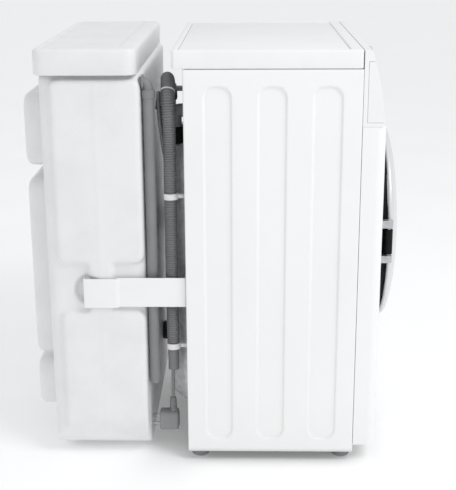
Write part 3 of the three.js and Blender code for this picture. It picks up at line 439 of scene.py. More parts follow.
def applied(piece):
    """The piece with its modifiers made part of its mesh."""
    bpy.context.view_layer.update()
    graph = bpy.context.evaluated_depsgraph_get()
    mesh = bpy.data.meshes.new_from_object(piece.evaluated_get(graph))
    piece.modifiers.clear()
    piece.data = mesh
    return piece


def combined(piece, tool, operation="DIFFERENCE"):
    modifier = piece.modifiers.new("join", "BOOLEAN")
    modifier.object = tool
    modifier.operation = operation
    modifier.solver = "EXACT"
    applied(piece)
    bpy.data.objects.remove(tool)
    return piece


def block(name, low, high, look, bevel=0.8, segments=2):
    outline = [(low[0], low[1]), (high[0], low[1]), (high[0], high[1]), (low[0], high[1])]
    return pushed(name, outline, "z", low[2], high[2], look, bevel, segments)


def melted(piece, voxel, passes, look, sharp=60):
    """The piece rebuilt as one skin of even squares and softened, as moulded plastic is."""
    modifier = piece.modifiers.new("skin", "REMESH")
    modifier.mode = "VOXEL"
    modifier.voxel_size = voxel * MM
    applied(piece)
    work = bmesh.new()
    work.from_mesh(piece.data)
    for _ in range(passes):
        bmesh.ops.smooth_vert(
            work, verts=work.verts, factor=0.5, use_axis_x=True, use_axis_y=True, use_axis_z=True)
    work.to_mesh(piece.data)
    work.free()
    piece.data.shade_smooth()
    piece.data.materials.clear()
    piece.data.materials.append(LOOKS[look])
    return piece


def merged(name, pieces):
    """Several meshes as one piece that keeps the first one's place in the list."""
    work = bmesh.new()
    for piece in pieces:
        applied(piece)
        work.from_mesh(piece.data)
    mesh = bpy.data.meshes.new(name)
    work.to_mesh(mesh)
    work.free()
    for material in pieces[0].data.materials:
        mesh.materials.append(material)
    for piece in pieces:
        bpy.data.objects.remove(piece)
    mesh.shade_smooth()
    mesh.set_sharp_from_angle(angle=math.radians(38))
    whole = bpy.data.objects.new(name, mesh)
    bpy.context.scene.collection.objects.link(whole)
    return whole


BODY_OF = {
    node: body for body, nodes in frame["record"]["behaviour"]["bodies"].items() for node in nodes
}
SLOT_OF = {part["node"]: part["material_slot"] for part in frame["record"]["subparts"]}


def goes_with(piece, node):
    """The piece moves with the node's body."""
    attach(piece, BODY_OF[node])
    return piece


def stands_for(piece, node):
    """The piece is shown in the node's place."""
    goes_with(piece, node)
    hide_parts(node)
    return piece


def smoothstep(value):
    t = np.clip(value, 0, 1)
    return t * t * (3 - 2 * t)


# ---- Cords first: the drain hose and the mains lead ----
HOSE_ROUTE = [
    (-150, 55.3, 672), (-150, 66, 672), (-150, 78, 675), (-150, 88, 686), (-150, 92, 705), (-150, 92, 725),
    (-158, 92, 755), (-180, 92, 777), (-210, 92, 785), (-240, 90, 777), (-262, 88, 755), (-270, 87, 725),
    (-270, 86, 700), (-270, 86, 580), (-270, 86, 400), (-270, 86, 260), (-270, 86, 196),
]
HOSE_PITCH = 4.8
HOSE_CREST = 13.0
HOSE_VALLEY = 11.0
CUFF_RADIUS = 11.2
HOSE_ROOT = 24                    # smooth length at the cabinet
HOSE_CUFF = 46                    # smooth length at the free end
LEAD_ROUTE = [
    (180, 105, 184.5), (180, 105, 200), (176, 106, 222), (160, 107, 260), (105, 108, 350), (20, 109, 460),
    (-60, 109, 560), (-140, 109, 665), (-183, 109, 722), (-203, 109, 750), (-223, 109, 759),
    (-243, 108, 748), (-252, 106, 715), (-252, 100, 660), (-250, 92, 600), (-250, 89, 500),
    (-250, 88, 360), (-250, 88, 260), (-251, 89, 200), (-252, 90, 123.5),
]
LEAD_RADIUS = 3.5


def drain_hose():
    step = HOSE_PITCH / 6
    path, length = smooth_path(HOSE_ROUTE, step)

    def reach(i):
        travel = i * step
        if travel < HOSE_ROOT or travel > length - HOSE_CUFF:
            return CUFF_RADIUS
        wave = math.cos(2 * math.pi * (travel - HOSE_ROOT) / HOSE_PITCH)
        return HOSE_VALLEY + (HOSE_CREST - HOSE_VALLEY) * (0.5 + 0.5 * wave) ** 0.7

    hose = tube("corrugated_hose", path, reach, "hose_plastic", sides=20, sharp=70)
    stands_for(hose, "drain_hose")


def mains_lead():
    path, length = smooth_path(LEAD_ROUTE, 6)
    curve = bpy.data.curves.new("mains_lead", "CURVE")
    curve.dimensions = "3D"
    curve.bevel_depth = LEAD_RADIUS * MM
    curve.bevel_resolution = 4
    spline = curve.splines.new("POLY")
    spline.points.add(len(path) - 1)
    for spot, point in zip(spline.points, path):
        spot.co = (*(point * MM), 1)
    curve.materials.append(LOOKS["cord_jacket"])
    lead = bpy.data.objects.new("mains_lead", curve)
    bpy.context.scene.collection.objects.link(lead)
    plug = mains_plug()
    stands_for(lead, "mains_cord")


PLUG = {"x": -252, "y": 90, "front": 79, "back": 118, "pins": 134, "boot": 123, "shoulder": 94, "bottom": 51}


def mains_plug():
    x, y, front, back = (PLUG[key] for key in ("x", "y", "front", "back"))
    bottom, top = PLUG["bottom"], PLUG["shoulder"]
    outline = [(x - 18, bottom), (x + 18, bottom), (x + 18, top), (x - 18, top)]
    body = pushed("plug_body", rounded(outline, 14, 8), "y", front, back, "cord_jacket", 3.4, 4)
    length = PLUG["boot"] - top
    boot = [(0.01, top - 6), (8.6, top - 6), (8.4, top)]
    for i in range(5):
        low = top + length * (i + 0.3) / 5.6
        radius = 8.0 - 0.28 * i
        boot += [(radius, low), (radius, low + 3.2), (radius - 1.0, low + 3.6), (radius - 1.0, low + 4.6)]
    boot += [(6.2, PLUG["boot"] - 1), (5.6, PLUG["boot"]), (0.01, PLUG["boot"])]
    neck = turned("plug_boot", boot, (x, y, 0), "cord_jacket", "z", 40, closed=False)
    ridge = rounded([(x - 12, bottom + 7), (x + 12, bottom + 7), (x + 12, top - 7), (x - 12, top - 7)], 9, 6)
    grip = pushed("plug_back", ridge, "y", front - 1.2, front + 2, "cord_jacket", 0.9, 3)
    stands_for(body, "mains_plug")
    parts = [body, goes_with(neck, "mains_plug"), goes_with(grip, "mains_plug")]
    middle = (bottom + top) / 2
    for side in (-1, 1):
        centre = (x + side * 7.3, 0, middle + side * 6)
        pins = PLUG["pins"]
        profile = [(0.01, back - 3), (2.4, back - 3), (2.4, pins - 1.4), (1.6, pins), (0.01, pins)]
        pin = turned(f"plug_pin_{side + 2}", profile, centre, "pulley_steel", "y", 20, closed=False)
        parts.append(goes_with(pin, "mains_plug"))
    return parts


drain_hose()
mains_lead()


# ---- Cabinet ----
HALF_WIDTH = 300
SIDE_FRONT, SIDE_BACK = -283.7, 57
BEADS = [(-248, -189), (-142, -84), (-37, 20)]
BEAD_BOTTOM, BEAD_TOP = 48, 784
BEAD_DEPTH = 4
BEAD_CORNER = 25
BEAD_SLOPE = 4.5                  # how far in from its outline a bead reaches full depth
AXIS_Z = 447                      # height of the drum and door axis


def inside_by(u, v, low, high, radius):
    """How far each point lies inside a rectangle with round corners; negative outside."""
    middle = ((low[0] + high[0]) / 2, (low[1] + high[1]) / 2)
    half = ((high[0] - low[0]) / 2 - radius, (high[1] - low[1]) / 2 - radius)
    qu, qv = np.abs(u - middle[0]) - half[0], np.abs(v - middle[1]) - half[1]
    corner = np.hypot(np.maximum(qu, 0), np.maximum(qv, 0))
    return radius - corner - np.minimum(np.maximum(qu, qv), 0)


def stops(*spans):
    """Places along a line: each span is a start, an end and a step."""
    places = []
    for start, end, step in spans:
        count = max(1, round((end - start) / step))
        places += [start + (end - start) * i / count for i in range(count)]
    return places + [spans[-1][1]]


def sheet_of(name, columns, rows, place, look, thickness, sharp=50):
    """A pressed sheet over a grid of columns and rows. place(column, row) gives each point."""
    points = [place(column, row) for column in columns for row in rows]
    count = len(rows)
    faces = []
    for i in range(len(columns) - 1):
        for j in range(count - 1):
            a = i * count + j
            faces.append((a, a + count, a + count + 1, a + 1))
    return walled(from_lists(name, points, faces, look, sharp), thickness)


def side_panel(node, side):
    low, high = box_mm(node)
    flange, skin, back = 20, 0.5, SIDE_BACK - 0.5
    fold = rounded([(flange, SIDE_FRONT), (skin, SIDE_FRONT), (skin, back), (flange, back)], 3, 5, False)
    places = [SIDE_FRONT + 5]
    for start, end in BEADS:
        places += stops((start - 1, start + 8, 1.1), (start + 8, end - 8, 6), (end - 8, end + 1, 1.1))
    columns = fold[:7] + [(skin, y) for y in (*places, SIDE_BACK - 5)] + fold[-7:]
    rows = stops(
        (low[2], BEAD_BOTTOM - 1, 8), (BEAD_BOTTOM - 1, 58, 1.1), (58, 78, 2), (78, 754, 52), (754, 774, 2),
        (774, BEAD_TOP + 1, 1.1), (BEAD_TOP + 1, high[2], 8))

    def place(column, z):
        inset, y = column
        depth = 0
        for front, back in BEADS:
            inner = inside_by(y, z, (front, BEAD_BOTTOM), (back, BEAD_TOP), BEAD_CORNER)
            depth += BEAD_DEPTH * smoothstep(inner / BEAD_SLOPE)
        return side * (HALF_WIDTH - inset - depth), y, z

    stands_for(sheet_of(f"pressed_{node}", columns, rows, place, "enamel", 1.0), node)


BULGE = {"half": 236, "bottom": 84, "top": 650, "corner": 60}
BULGE_WALL, BULGE_SLOPE = 5, 30    # how far in from its outline the steep foot and the shoulder reach
RIB_HEIGHTS = (690, 722, 754)


def rear_panel():
    low, high = box_mm("rear_panel")
    flat = 54.2
    rise = high[1] - 0.6 - flat
    columns = stops(
        (low[0], -238, 10), (-238, -204, 1.8), (-204, -146, 5), (-146, 146, 25), (146, 204, 5),
        (204, 238, 1.8), (238, high[0], 10))
    rows = stops(
        (low[2], 82, 12), (82, 116, 1.8), (116, 176, 4), (176, 558, 50), (558, 618, 4), (618, 652, 1.8),
        (652, 676, 5), (676, 768, 2.5), (768, high[2], 10))

    def place(x, z):
        low_corner, high_corner = (-BULGE["half"], BULGE["bottom"]), (BULGE["half"], BULGE["top"])
        inner = inside_by(x, z, low_corner, high_corner, BULGE["corner"])
        y = flat + rise * (0.3 * smoothstep(inner / BULGE_WALL) + 0.7 * smoothstep(inner / BULGE_SLOPE))
        for height in RIB_HEIGHTS:
            inner = inside_by(x, z, (-170, height - 9), (170, height + 9), 8.9)
            y += 3.2 * smoothstep(inner / 7)
        return x, y, z

    stands_for(sheet_of("pressed_rear_panel", columns, rows, place, "galvanised", 1.0), "rear_panel")


def ring(low, high, radius, z, steps=8):
    corners = [(low[0], low[1]), (high[0], low[1]), (high[0], high[1]), (low[0], high[1])]
    return [(p[0], p[1], z) for p in rounded(corners, radius, steps)]


def loft(name, rings, look, sharp=38, caps=(True, True)):
    """A skin through rings of the same number of points."""
    count = len(rings[0])
    points = [point for one in rings for point in one]
    faces = []
    for i in range(len(rings) - 1):
        for k in range(count):
            n = (k + 1) % count
            faces.append((i * count + k, i * count + n, (i + 1) * count + n, (i + 1) * count + k))
    if caps[0]:
        faces.append(tuple(range(count)))
    if caps[1]:
        faces.append(tuple(range(len(points) - count, len(points))))
    return from_lists(name, points, faces, look, sharp)


def soft_ring(low, high, radius, inset, z):
    return ring(
        (low[0] + inset, low[1] + inset), (high[0] - inset, high[1] - inset), max(radius - inset, 0.5), z)


BOARD_LOW, BOARD_HIGH = (-287, -260), (287, 66)
BOARD_SINK = 2


def worktop():
    low, high = box_mm("worktop")
    rings = [soft_ring(low, high, 8, inset, z) for inset, z in (
        (10, low[2]), (1.2, low[2]), (0.3, low[2] + 0.4), (0, low[2] + 1.4), (0, high[2] - 4),
        (0.4, high[2] - 2.2), (1.3, high[2] - 0.9), (2.8, high[2] - 0.15), (5, high[2]))]
    rings += [soft_ring(BOARD_LOW, BOARD_HIGH, 6, inset, z) for inset, z in (
        (-3, high[2]), (-1.2, high[2] - 0.3), (-0.3, high[2] - 1.2), (0, high[2] - 2.4), (0, high[2] - 5))]
    stands_for(loft("worktop_rim", rings, "worktop_plastic"), "worktop")
    top = high[2] - BOARD_SINK
    board = [soft_ring(BOARD_LOW, BOARD_HIGH, 5, inset, z) for inset, z in (
        (0.9, top - 2.5), (0.9, top - 1.0), (1.3, top - 0.3), (2.0, top))]
    goes_with(loft("worktop_board", board, "worktop_plastic"), "worktop")


def arc(centre, radius, start, end, steps):
    """Points of an arc, its angles in degrees."""
    angles = [math.radians(start + (end - start) * i / steps) for i in range(steps + 1)]
    return [(centre[0] + radius * math.cos(a), centre[1] + radius * math.sin(a)) for a in angles]


FRONT_FACE = -331
SHELL_BACK = -284.3
SHELL_CORNER = 20
DOOR_HOLE = 172


def shell_plan(inset, back):
    side, front, corner = HALF_WIDTH - inset, FRONT_FACE + inset, SHELL_CORNER - inset
    left = arc((-side + corner, front + corner), corner, 180, 270, 12)
    right = arc((side - corner, front + corner), corner, 270, 360, 12)
    return [(-side, back), *left, *right, (side, back)]


def disc(name, centre, radius, start, end, look, axis="y", steps=96):
    profile = [(0.01, start), (radius, start), (radius, end), (0.01, end)]
    return turned(name, profile, centre, look, axis, steps, closed=False)


def front_panel():
    low, high = box_mm("front_panel")
    shell = pushed("pressed_front", shell_plan(0, SHELL_BACK), "z", low[2], high[2], "enamel", 0)
    inside = shell_plan(1.2, SHELL_BACK + 9)
    reach = FRONT_FACE - 9, FRONT_FACE + 9
    latch_slot = (178, -340, 436), (206, -320, 458)
    filter_hatch = (186, -340, 58), (274, -320, 142)
    shell = combined(shell, pushed("tool", inside, "z", low[2] + 2, high[2] - 2, "enamel", 0))
    shell = combined(shell, disc("tool", (0, 0, AXIS_Z), DOOR_HOLE, *reach, "enamel", steps=128))
    for corners in (latch_slot, filter_hatch):
        shell = combined(shell, block("tool", *corners, "enamel", 0))
    shell.data.shade_smooth()
    shell.data.set_sharp_from_angle(angle=math.radians(32))
    stands_for(bevelled(shell, 0.55, 2), "front_panel")


# ---- Fascia, controls and drawer ----
FASCIA_CURVE = ((-325, 716), (-322, 775), (-303, 834))
FASCIA_BOTTOM = 705
FASCIA_TILT = math.radians(10.4)
DRAWER_LOW = (-300, -400, 713)
DRAWER_HIGH = (-118, -293, 828)
DISPLAY_LOW = (118, -360, 766)
DISPLAY_HIGH = (262, -290, 812)
KNOB_PLACE = (50, 785)
KNOB_RADIUS, KNOB_LENGTH = 32, 26
BUTTON_PLACES = {"start_button": (136, 742), "temperature_button": (186, 742), "spin_button": (236, 742)}
BUTTON_RADIUS = 9


def bent(a, b, c, share):
    keep = 1 - share
    return tuple(keep * keep * p + 2 * keep * share * q + share * share * r for p, q, r in zip(a, b, c))


def fascia_profile(inset, back):
    face = [bent(*FASCIA_CURVE, i / 14) for i in range(15)]
    brow = [bent((-303, 834), (-301, 850), (-294, 850), i / 6) for i in range(1, 7)]
    foot = [(back, FASCIA_BOTTOM), (-322, FASCIA_BOTTOM), (-325, FASCIA_BOTTOM + 3)]
    points = [*foot, *face, *brow, (back, 850)]
    if not inset:
        return points
    inner = [(y + inset, min(max(z, FASCIA_BOTTOM + inset), 850 - inset)) for y, z in points]
    return [(back + 5, inner[0][1]), *inner[1:-1], (back + 5, inner[-1][1])]


def fascia_skin(name, left, right, look):
    return pushed(name, fascia_profile(0, SHELL_BACK), "x", left, right, look, 0)


def on_fascia(place):
    """Where a control sits on the fascia's face and how it leans."""
    x, z = place
    start, _, end = FASCIA_CURVE
    y = bent(*FASCIA_CURVE, (z - start[1]) / (end[1] - start[1]))[0]
    return Matrix.Translation(Vector((x, y, z)) * MM) @ Matrix.Rotation(-FASCIA_TILT, 4, "X")


def control(name, profile, place, look, steps=64, flute=None):
    piece = turned(name, profile, (0, 0, 0), look, "y", steps, closed=False, flute=flute)
    piece.data.transform(on_fascia(place))
    return piece


def control_fascia():
    skin = fascia_skin("fascia_moulding", -HALF_WIDTH, HALF_WIDTH, "fascia_plastic")
    hollow = pushed(
        "tool", fascia_profile(3, SHELL_BACK), "x", -HALF_WIDTH + 3, HALF_WIDTH - 3, "fascia_plastic", 0)
    skin = combined(skin, hollow)
    gap = 0.5
    drawer_low = (DRAWER_LOW[0] - 5, DRAWER_LOW[1], DRAWER_LOW[2] - gap)
    drawer_high = tuple(value + gap for value in DRAWER_HIGH)
    skin = combined(skin, block("tool", drawer_low, drawer_high, "fascia_plastic", 0))
    skin = combined(skin, block("tool", DISPLAY_LOW, DISPLAY_HIGH, "fascia_plastic", 0))
    bores = [(KNOB_PLACE, 8)] + [(place, BUTTON_RADIUS + 0.6) for place in BUTTON_PLACES.values()]
    for place, radius in bores:
        profile = [(0.01, -20), (radius, -20), (radius, 20), (0.01, 20)]
        skin = combined(skin, control("tool", profile, place, "fascia_plastic", 40))
    finish_cut(skin)
    stands_for(bevelled(skin, 0.7, 2), "control_fascia")


def finish_cut(piece, sharp=32):
    piece.data.shade_smooth()
    piece.data.set_sharp_from_angle(angle=math.radians(sharp))
    return piece


def drawer_front():
    skin = fascia_skin("drawer_face", DRAWER_LOW[0], DRAWER_HIGH[0], "drawer_plastic")
    reach = block("tool", (DRAWER_LOW[0] - 5, *DRAWER_LOW[1:]), DRAWER_HIGH, "drawer_plastic", 0)
    skin = combined(skin, reach, "INTERSECT")
    skin = combined(skin, block("tool", (-297, -301, 716), (-121, 0, 825), "drawer_plastic", 0))
    grip = rounded([(-250, 704), (-168, 704), (-168, 722), (-250, 722)], 8, 5)
    skin = combined(skin, pushed("tool", grip, "y", -340, -318, "drawer_plastic", 0))
    finish_cut(skin)
    stands_for(bevelled(skin, 0.9, 3), "drawer_front")


def display_window():
    gap = 0.4
    low = (DISPLAY_LOW[0] + gap, DISPLAY_LOW[1], DISPLAY_LOW[2] + gap)
    high = (DISPLAY_HIGH[0] - gap, DISPLAY_HIGH[1], DISPLAY_HIGH[2] - gap)
    glass = fascia_skin("display_lens", low[0], high[0], "display_glass")
    glass = combined(glass, block("tool", low, high, "display_glass", 0), "INTERSECT")
    back = pushed("tool", fascia_profile(2.4, SHELL_BACK), "x", 100, 280, "display_glass", 0)
    glass = combined(glass, back)
    finish_cut(glass)
    stands_for(bevelled(glass, 0.5, 2), "display_window")


def program_knob():
    r, length = KNOB_RADIUS, KNOB_LENGTH
    profile = [
        (0.01, -length + 1.4), (r - 14, -length + 1.2), (r - 8, -length + 0.2), (r - 5, -length),
        (r - 3.2, -length + 0.5), (r - 2.2, -length + 1.8), (r - 1.6, -length + 5), (r - 0.5, -7),
        (r, -4), (r, -1.6), (r - 1, -0.8), (7, -0.8), (7, 12), (0.01, 12),
    ]

    def grip(angle, radius, along):
        ridged = radius > r - 3 and -length + 2 < along < -3
        return 1 - 0.022 * (0.5 + 0.5 * math.cos(30 * angle)) if ridged else 1

    stands_for(control("knob_grip", profile, KNOB_PLACE, "silver_plastic", 240, grip), "program_knob")
    mark = block("knob_mark", (-1.3, -length - 0.3, 13), (1.3, -length + 1.2, 25), "white_clip", 0.5)
    mark.data.transform(on_fascia(KNOB_PLACE))
    goes_with(mark, "program_knob")


def buttons():
    r = BUTTON_RADIUS
    profile = [
        (0.01, -3.1), (r - 4, -3.3), (r - 2.4, -3.7), (r - 1.2, -4), (r - 0.4, -3.7), (r, -3), (r, 5),
        (3, 5), (3, 11), (0.01, 11),
    ]
    for node, place in BUTTON_PLACES.items():
        stands_for(control(f"{node}_cap", profile, place, "silver_plastic"), node)


# ---- Door ----
DOOR_AXIS = (0, 0, AXIS_Z)
RING_PROFILE = [
    (152, -366), (204, -353.5, 1), (211, -352.3, 1), (215, -354.5, 2), (215, -359, 4), (208, -364.5, 6),
    (192, -370, 20), (172, -374.6, 14), (160, -376.8, 6), (153.5, -376.8, 2), (152, -375, 1),
]


def door_ring(name, look="silver_plastic"):
    return turned(name, rounded(RING_PROFILE, 3, 4), DOOR_AXIS, look, steps=144)


def handle_window(gap):
    return block(
        "tool", (177 + gap, -400, AXIS_Z - 42 + gap), (240, -300, AXIS_Z + 42 - gap), "silver_plastic", 0)


def door_and_handle():
    ringed = finish_cut(combined(door_ring("door_trim"), handle_window(0)))
    stands_for(bevelled(ringed, 0.5, 2), "door_outer_ring")
    grip = combined(door_ring("door_pull"), handle_window(0.8), "INTERSECT")
    grip = combined(grip, block("tool", (188, -362, 412), (240, -340, 482), "silver_plastic", 0))
    finish_cut(grip)
    stands_for(bevelled(grip, 0.7, 2), "door_handle")
    hook = [(190, -352), (190, -316), (180.5, -316), (182, -321), (184, -321.5), (184, -352)]
    hook = pushed("door_catch", hook, "z", AXIS_Z - 7, AXIS_Z + 7, "hinge_metal", 0.4)
    goes_with(hook, "door_handle")


def door_cover():
    edge = 151.5
    dome = [(edge * i / 12, -381 + 5 * (i / 12) ** 2) for i in range(12)]
    profile = [(0.01, -373), (100, -371.5), (148, -367), (151.3, -368.5)]
    profile += [(edge, -371), (edge, -374.6), (edge - 1, -375.9)]
    profile += reversed([(max(r, 0.01), y) for r, y in dome])
    window = turned("door_window", profile, DOOR_AXIS, "smoked_window", steps=144, closed=False)
    stands_for(window, "door_cover")


HINGE_PIN = (-224, -352)
HINGE_ARMS = ((412, 427), (485, 501))
HINGE_SCREWS = (406, 504)


def door_frame_and_glass():
    profile = [(164, -337, 1), (200, -337, 2), (205, -341, 3), (205, -352, 1), (164, -352, 1)]
    hoop = turned("door_frame", rounded(profile, 1, 3), DOOR_AXIS, "dark_plastic", steps=144)
    hoop = finish_cut(combined(hoop, block("tool", (178, -360, 436), (198, -330, 458), "dark_plastic", 0)))
    stands_for(hoop, "door_inner_frame")
    x, y = HINGE_PIN
    lug = arc((x, y), 8, 90, 270, 12)
    lug += [(x + 7, y - 5), (x + 7.4, y), (x + 26, y), (x + 26, y + 7), (x + 4, y + 7.6)]
    goes_with(pushed("door_lug", lug, "z", 430, 482, "dark_plastic", 0.8), "door_inner_frame")
    bowl = [
        (163.5, -350, 1), (163.5, -345, 2), (152, -342, 4), (147, -334, 6), (138, -300, 30), (118, -240, 20),
        (100, -219, 12), (60, -212, 30), (0.01, -210),
    ]
    back = [
        (0.01, -215.5), (60, -217.5, 30), (97, -224.5, 12), (112.5, -243, 20), (132.5, -302, 30),
        (143, -342, 6), (148, -350),
    ]
    outline = rounded(bowl, 2, 5, False) + rounded(back, 2, 5, False)
    stands_for(turned("door_bowl", outline, DOOR_AXIS, "door_glass", steps=120), "door_glass")


def door_hinge():
    x, y = HINGE_PIN
    plate = rounded([(x - 14, 400), (x + 14, 400), (x + 14, 512), (x - 14, 512)], 6, 6)
    plate = pushed("hinge_plate", plate, "y", FRONT_FACE - 4, FRONT_FACE - 0.3, "hinge_metal", 0.7)
    stands_for(plate, "door_hinge")
    finger = arc((x, y), 8, 180, 360, 20) + [(x + 8, FRONT_FACE - 3), (x - 8, FRONT_FACE - 3)]
    for count, (low, high) in enumerate(HINGE_ARMS):
        goes_with(pushed(f"hinge_arm_{count}", finger, "z", low, high, "hinge_metal", 1.2, 3), "door_hinge")
        head = [(0.01, -2.6), (2.5, -2.4), (4.2, -1.4), (4.6, 0), (0.01, 0)]
        spot = (x, FRONT_FACE - 4, HINGE_SCREWS[count])
        screw = turned(f"hinge_screw_{count}", head, spot, "pulley_steel", "y", 24, closed=False)
        goes_with(screw, "door_hinge")
    pin = [(0.01, 411), (3, 411), (4, 412), (4, 501.5), (3, 503), (0.01, 503.4)]
    pin = turned("hinge_pin", pin, (x, y, 0), "pulley_steel", "z", 28, closed=False)
    goes_with(pin, "door_hinge")


def door_gasket():
    profile = [
        (171.2, -331.6), (161, -332, 3), (156.2, -330, 3), (156.4, -322, 4), (168, -316, 5), (169, -307, 5),
        (159, -301, 5), (159, -293, 5), (171, -288, 5), (181, -284, 5), (186.5, -275, 5), (189.5, -261),
    ]
    profile = rounded(profile, 3, 5, False)
    bellows = turned(
        "gasket_bellows", profile, DOOR_AXIS, "gasket_rubber", steps=120, closed=False, sharp=60)
    applied(walled(bellows, 2.2))
    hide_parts("door_gasket")
    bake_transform(bellows)


# ---- Drum and suspension ----
DRUM_RADIUS = 235
DRUM_FRONT, DRUM_BACK = -255, 5
DRUM_MOUTH = 165
HOLE_RADIUS = 1.9


def perforated_wall(name, radius, start, end, around, along):
    """A cylinder wall of square cells, each with a round hole, about the drum axis."""
    points = []
    faces = []
    half_turn = math.pi / around
    half_step = (end - start) / along / 2
    reach = HOLE_RADIUS / radius
    border = [(1, 0), (1, 1), (0, 1), (-1, 1), (-1, 0), (-1, -1), (0, -1), (1, -1)]
    for i in range(around):
        for j in range(along):
            turn, y = (2 * i + 1) * half_turn, start + (2 * j + 1) * half_step
            first = len(points)
            cell = [(turn + a * half_turn, y + b * half_step) for a, b in border]
            hole = [
                (turn + reach * math.cos(k * math.pi / 4), y + HOLE_RADIUS * math.sin(k * math.pi / 4))
                for k in range(8)
            ]
            for angle, place in cell + hole:
                points.append((radius * math.sin(angle), place, AXIS_Z + radius * math.cos(angle)))
            for k in range(8):
                n = (k + 1) % 8
                faces.append((first + k, first + n, first + 8 + n, first + 8 + k))
    return walled(from_lists(name, points, faces, "stainless", 50), 0.8)


def drum():
    r = DRUM_RADIUS - 1
    goes_with(perforated_wall("drum_wall", r, DRUM_FRONT + 24, DRUM_BACK - 18, 84, 13), "drum")
    front = [
        (r, DRUM_FRONT + 24), (r, DRUM_FRONT + 15), (r - 3, DRUM_FRONT + 6, 4), (r - 12, DRUM_FRONT + 1, 4),
        (DRUM_MOUTH + 6, DRUM_FRONT + 1, 3), (DRUM_MOUTH, DRUM_FRONT + 3, 2), (DRUM_MOUTH, DRUM_FRONT + 7),
    ]
    back = [
        (r, DRUM_BACK - 18), (r, DRUM_BACK - 9, 4), (r - 8, DRUM_BACK - 1, 4), (170, DRUM_BACK - 1, 4),
        (160, DRUM_BACK - 8, 4), (70, DRUM_BACK - 8, 4), (58, DRUM_BACK - 1, 4), (0.01, DRUM_BACK - 1),
    ]
    front, back = (
        turned(name, rounded(profile, 2, 4, False), DOOR_AXIS, "stainless", steps=144, closed=False)
        for name, profile in (("drum_front", front), ("drum_back", back))
    )
    stands_for(front, "drum")
    goes_with(back, "drum")
    for count in range(3):
        goes_with(lifter(f"drum_lifter_{count}", count * 120), "drum")


def lifter(name, turn):
    base = DRUM_RADIUS - 2
    stations = [(0, 0.15), (14, 0.8), (34, 1), (180, 1), (202, 0.8), (216, 0.15)]
    rings = []
    for along, share in stations:
        foot, crest = 14 * share, 36 * share
        outline = [(-25, 0), (-17, foot, 6), (-9, crest, 9), (9, crest, 9), (17, foot, 6), (25, 0)]
        rings.append([(u, DRUM_FRONT + 20 + along, base - v) for u, v in rounded(outline, 4, 4, False)])
    piece = loft(name, rings, "stainless", 60)
    piece.data.transform(Matrix.Rotation(math.radians(turn), 4, "Y"))
    piece.data.transform(Matrix.Translation((0, 0, AXIS_Z * MM)))
    return piece


def suspension_spring(node):
    low, high = box_mm(node)
    centre = (low + high) / 2
    wire = 1.7
    reach = (high[0] - low[0]) / 2 - wire
    turns = 15
    hook = 16
    length = high[2] - low[2] - 2 * hook
    route = [(centre[0], centre[1], low[2] + 1), (centre[0], centre[1], low[2] + hook - 6)]
    for i in range(turns * 16 + 1):
        angle = 2 * math.pi * i / 16
        z = low[2] + hook + length * i / (turns * 16)
        route.append((centre[0] + reach * math.cos(angle), centre[1] + reach * math.sin(angle), z))
    route += [(centre[0], centre[1], high[2] - hook + 6), (centre[0], centre[1], high[2] - 1)]
    coil = tube(f"{node}_coil", [Vector(p) for p in route], wire, "spring_steel", 8)
    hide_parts(node)
    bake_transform(coil)


# ---- Feet ----
def foot(node):
    low, high = box_mm(node)
    centre = ((low[0] + high[0]) / 2, (low[1] + high[1]) / 2, 0)
    r = (high[0] - low[0]) / 2
    pad = [
        (0.01, 0), (r - 2.5, 0), (r - 0.6, 0.6), (r, 2), (r, 5), (r - 0.8, 5.8), (r - 0.8, 6.6), (r, 7.4),
        (r, 13), (r - 1.2, 14.4), (r - 5, 15.6), (0.01, 16),
    ]
    stands_for(turned(f"{node}_pad", pad, centre, "foot_plastic", "z", 48, closed=False), node)
    nut = [(centre[0] + u, centre[1] + v) for u, v in arc((0, 0), 12.5, 0, 300, 5)]
    goes_with(pushed(f"{node}_nut", nut, "z", 15.8, 21.6, "hinge_metal", 0.8), node)
    bolt = [(0.01, 20)]
    for i in range(14):
        z = 21.7 + i * 1.25
        bolt += [(5, z), (4.2, z + 0.6)]
    bolt += [(4, 39.6), (0.01, 40)]
    thread = turned(f"{node}_thread", bolt, centre, "pulley_steel", "z", 24, closed=False)
    goes_with(thread, node)


# ---- Water and mains fittings ----
CLIP_HEIGHTS = (563, 248)
TIE_PLACE = (-251.5, 89, 767)


def hose_fittings():
    x, y, z = HOSE_ROUTE[0]
    collar = [
        (0.01, 54.8), (15, 54.8), (16, 55.6), (16, 58.6), (15, 59.4), (12.4, 59.6), (12.2, 67), (0.01, 67),
    ]
    outlet = turned("hose_outlet", collar, (x, 0, z), "damper_plastic", "y", 48, closed=False)
    goes_with(outlet, "drain_hose")
    x, y, _ = HOSE_ROUTE[-1]
    for count, height in enumerate(CLIP_HEIGHTS):
        goes_with(hose_clip(f"hose_clip_{count}", (x, y, height)), "drain_hose")
    inner, outer = HOSE_CREST + 0.1, HOSE_CREST + 0.9
    band = [(inner, -1.6), (outer, -1.4), (outer, 1.4), (inner, 1.6)]
    tie = turned("hose_tie", band, (0, 0, 0), "white_clip", "z", 40)
    lean = Matrix.Rotation(math.radians(38), 4, "Y")
    tie.data.transform(Matrix.Translation(Vector(TIE_PLACE) * MM) @ lean)
    goes_with(tie, "drain_hose")


def hose_clip(name, centre):
    """An open spring clip around the hose, with a foot that reaches back to the panel."""
    x, y, z = centre
    outer, inner = HOSE_CREST + 2.4, HOSE_CREST + 0.3
    outline = arc((x, y), outer, -235, 55, 32) + list(reversed(arc((x, y), inner, -235, 55, 32)))
    band = pushed(name, outline, "z", z - 6, z + 6, "white_clip", 0.5)
    leg = block(f"{name}_leg", (x - 4, 55, z - 4), (x + 4, y - inner - 0.5, z + 4), "white_clip", 0.8)
    return merged(name, [band, leg])


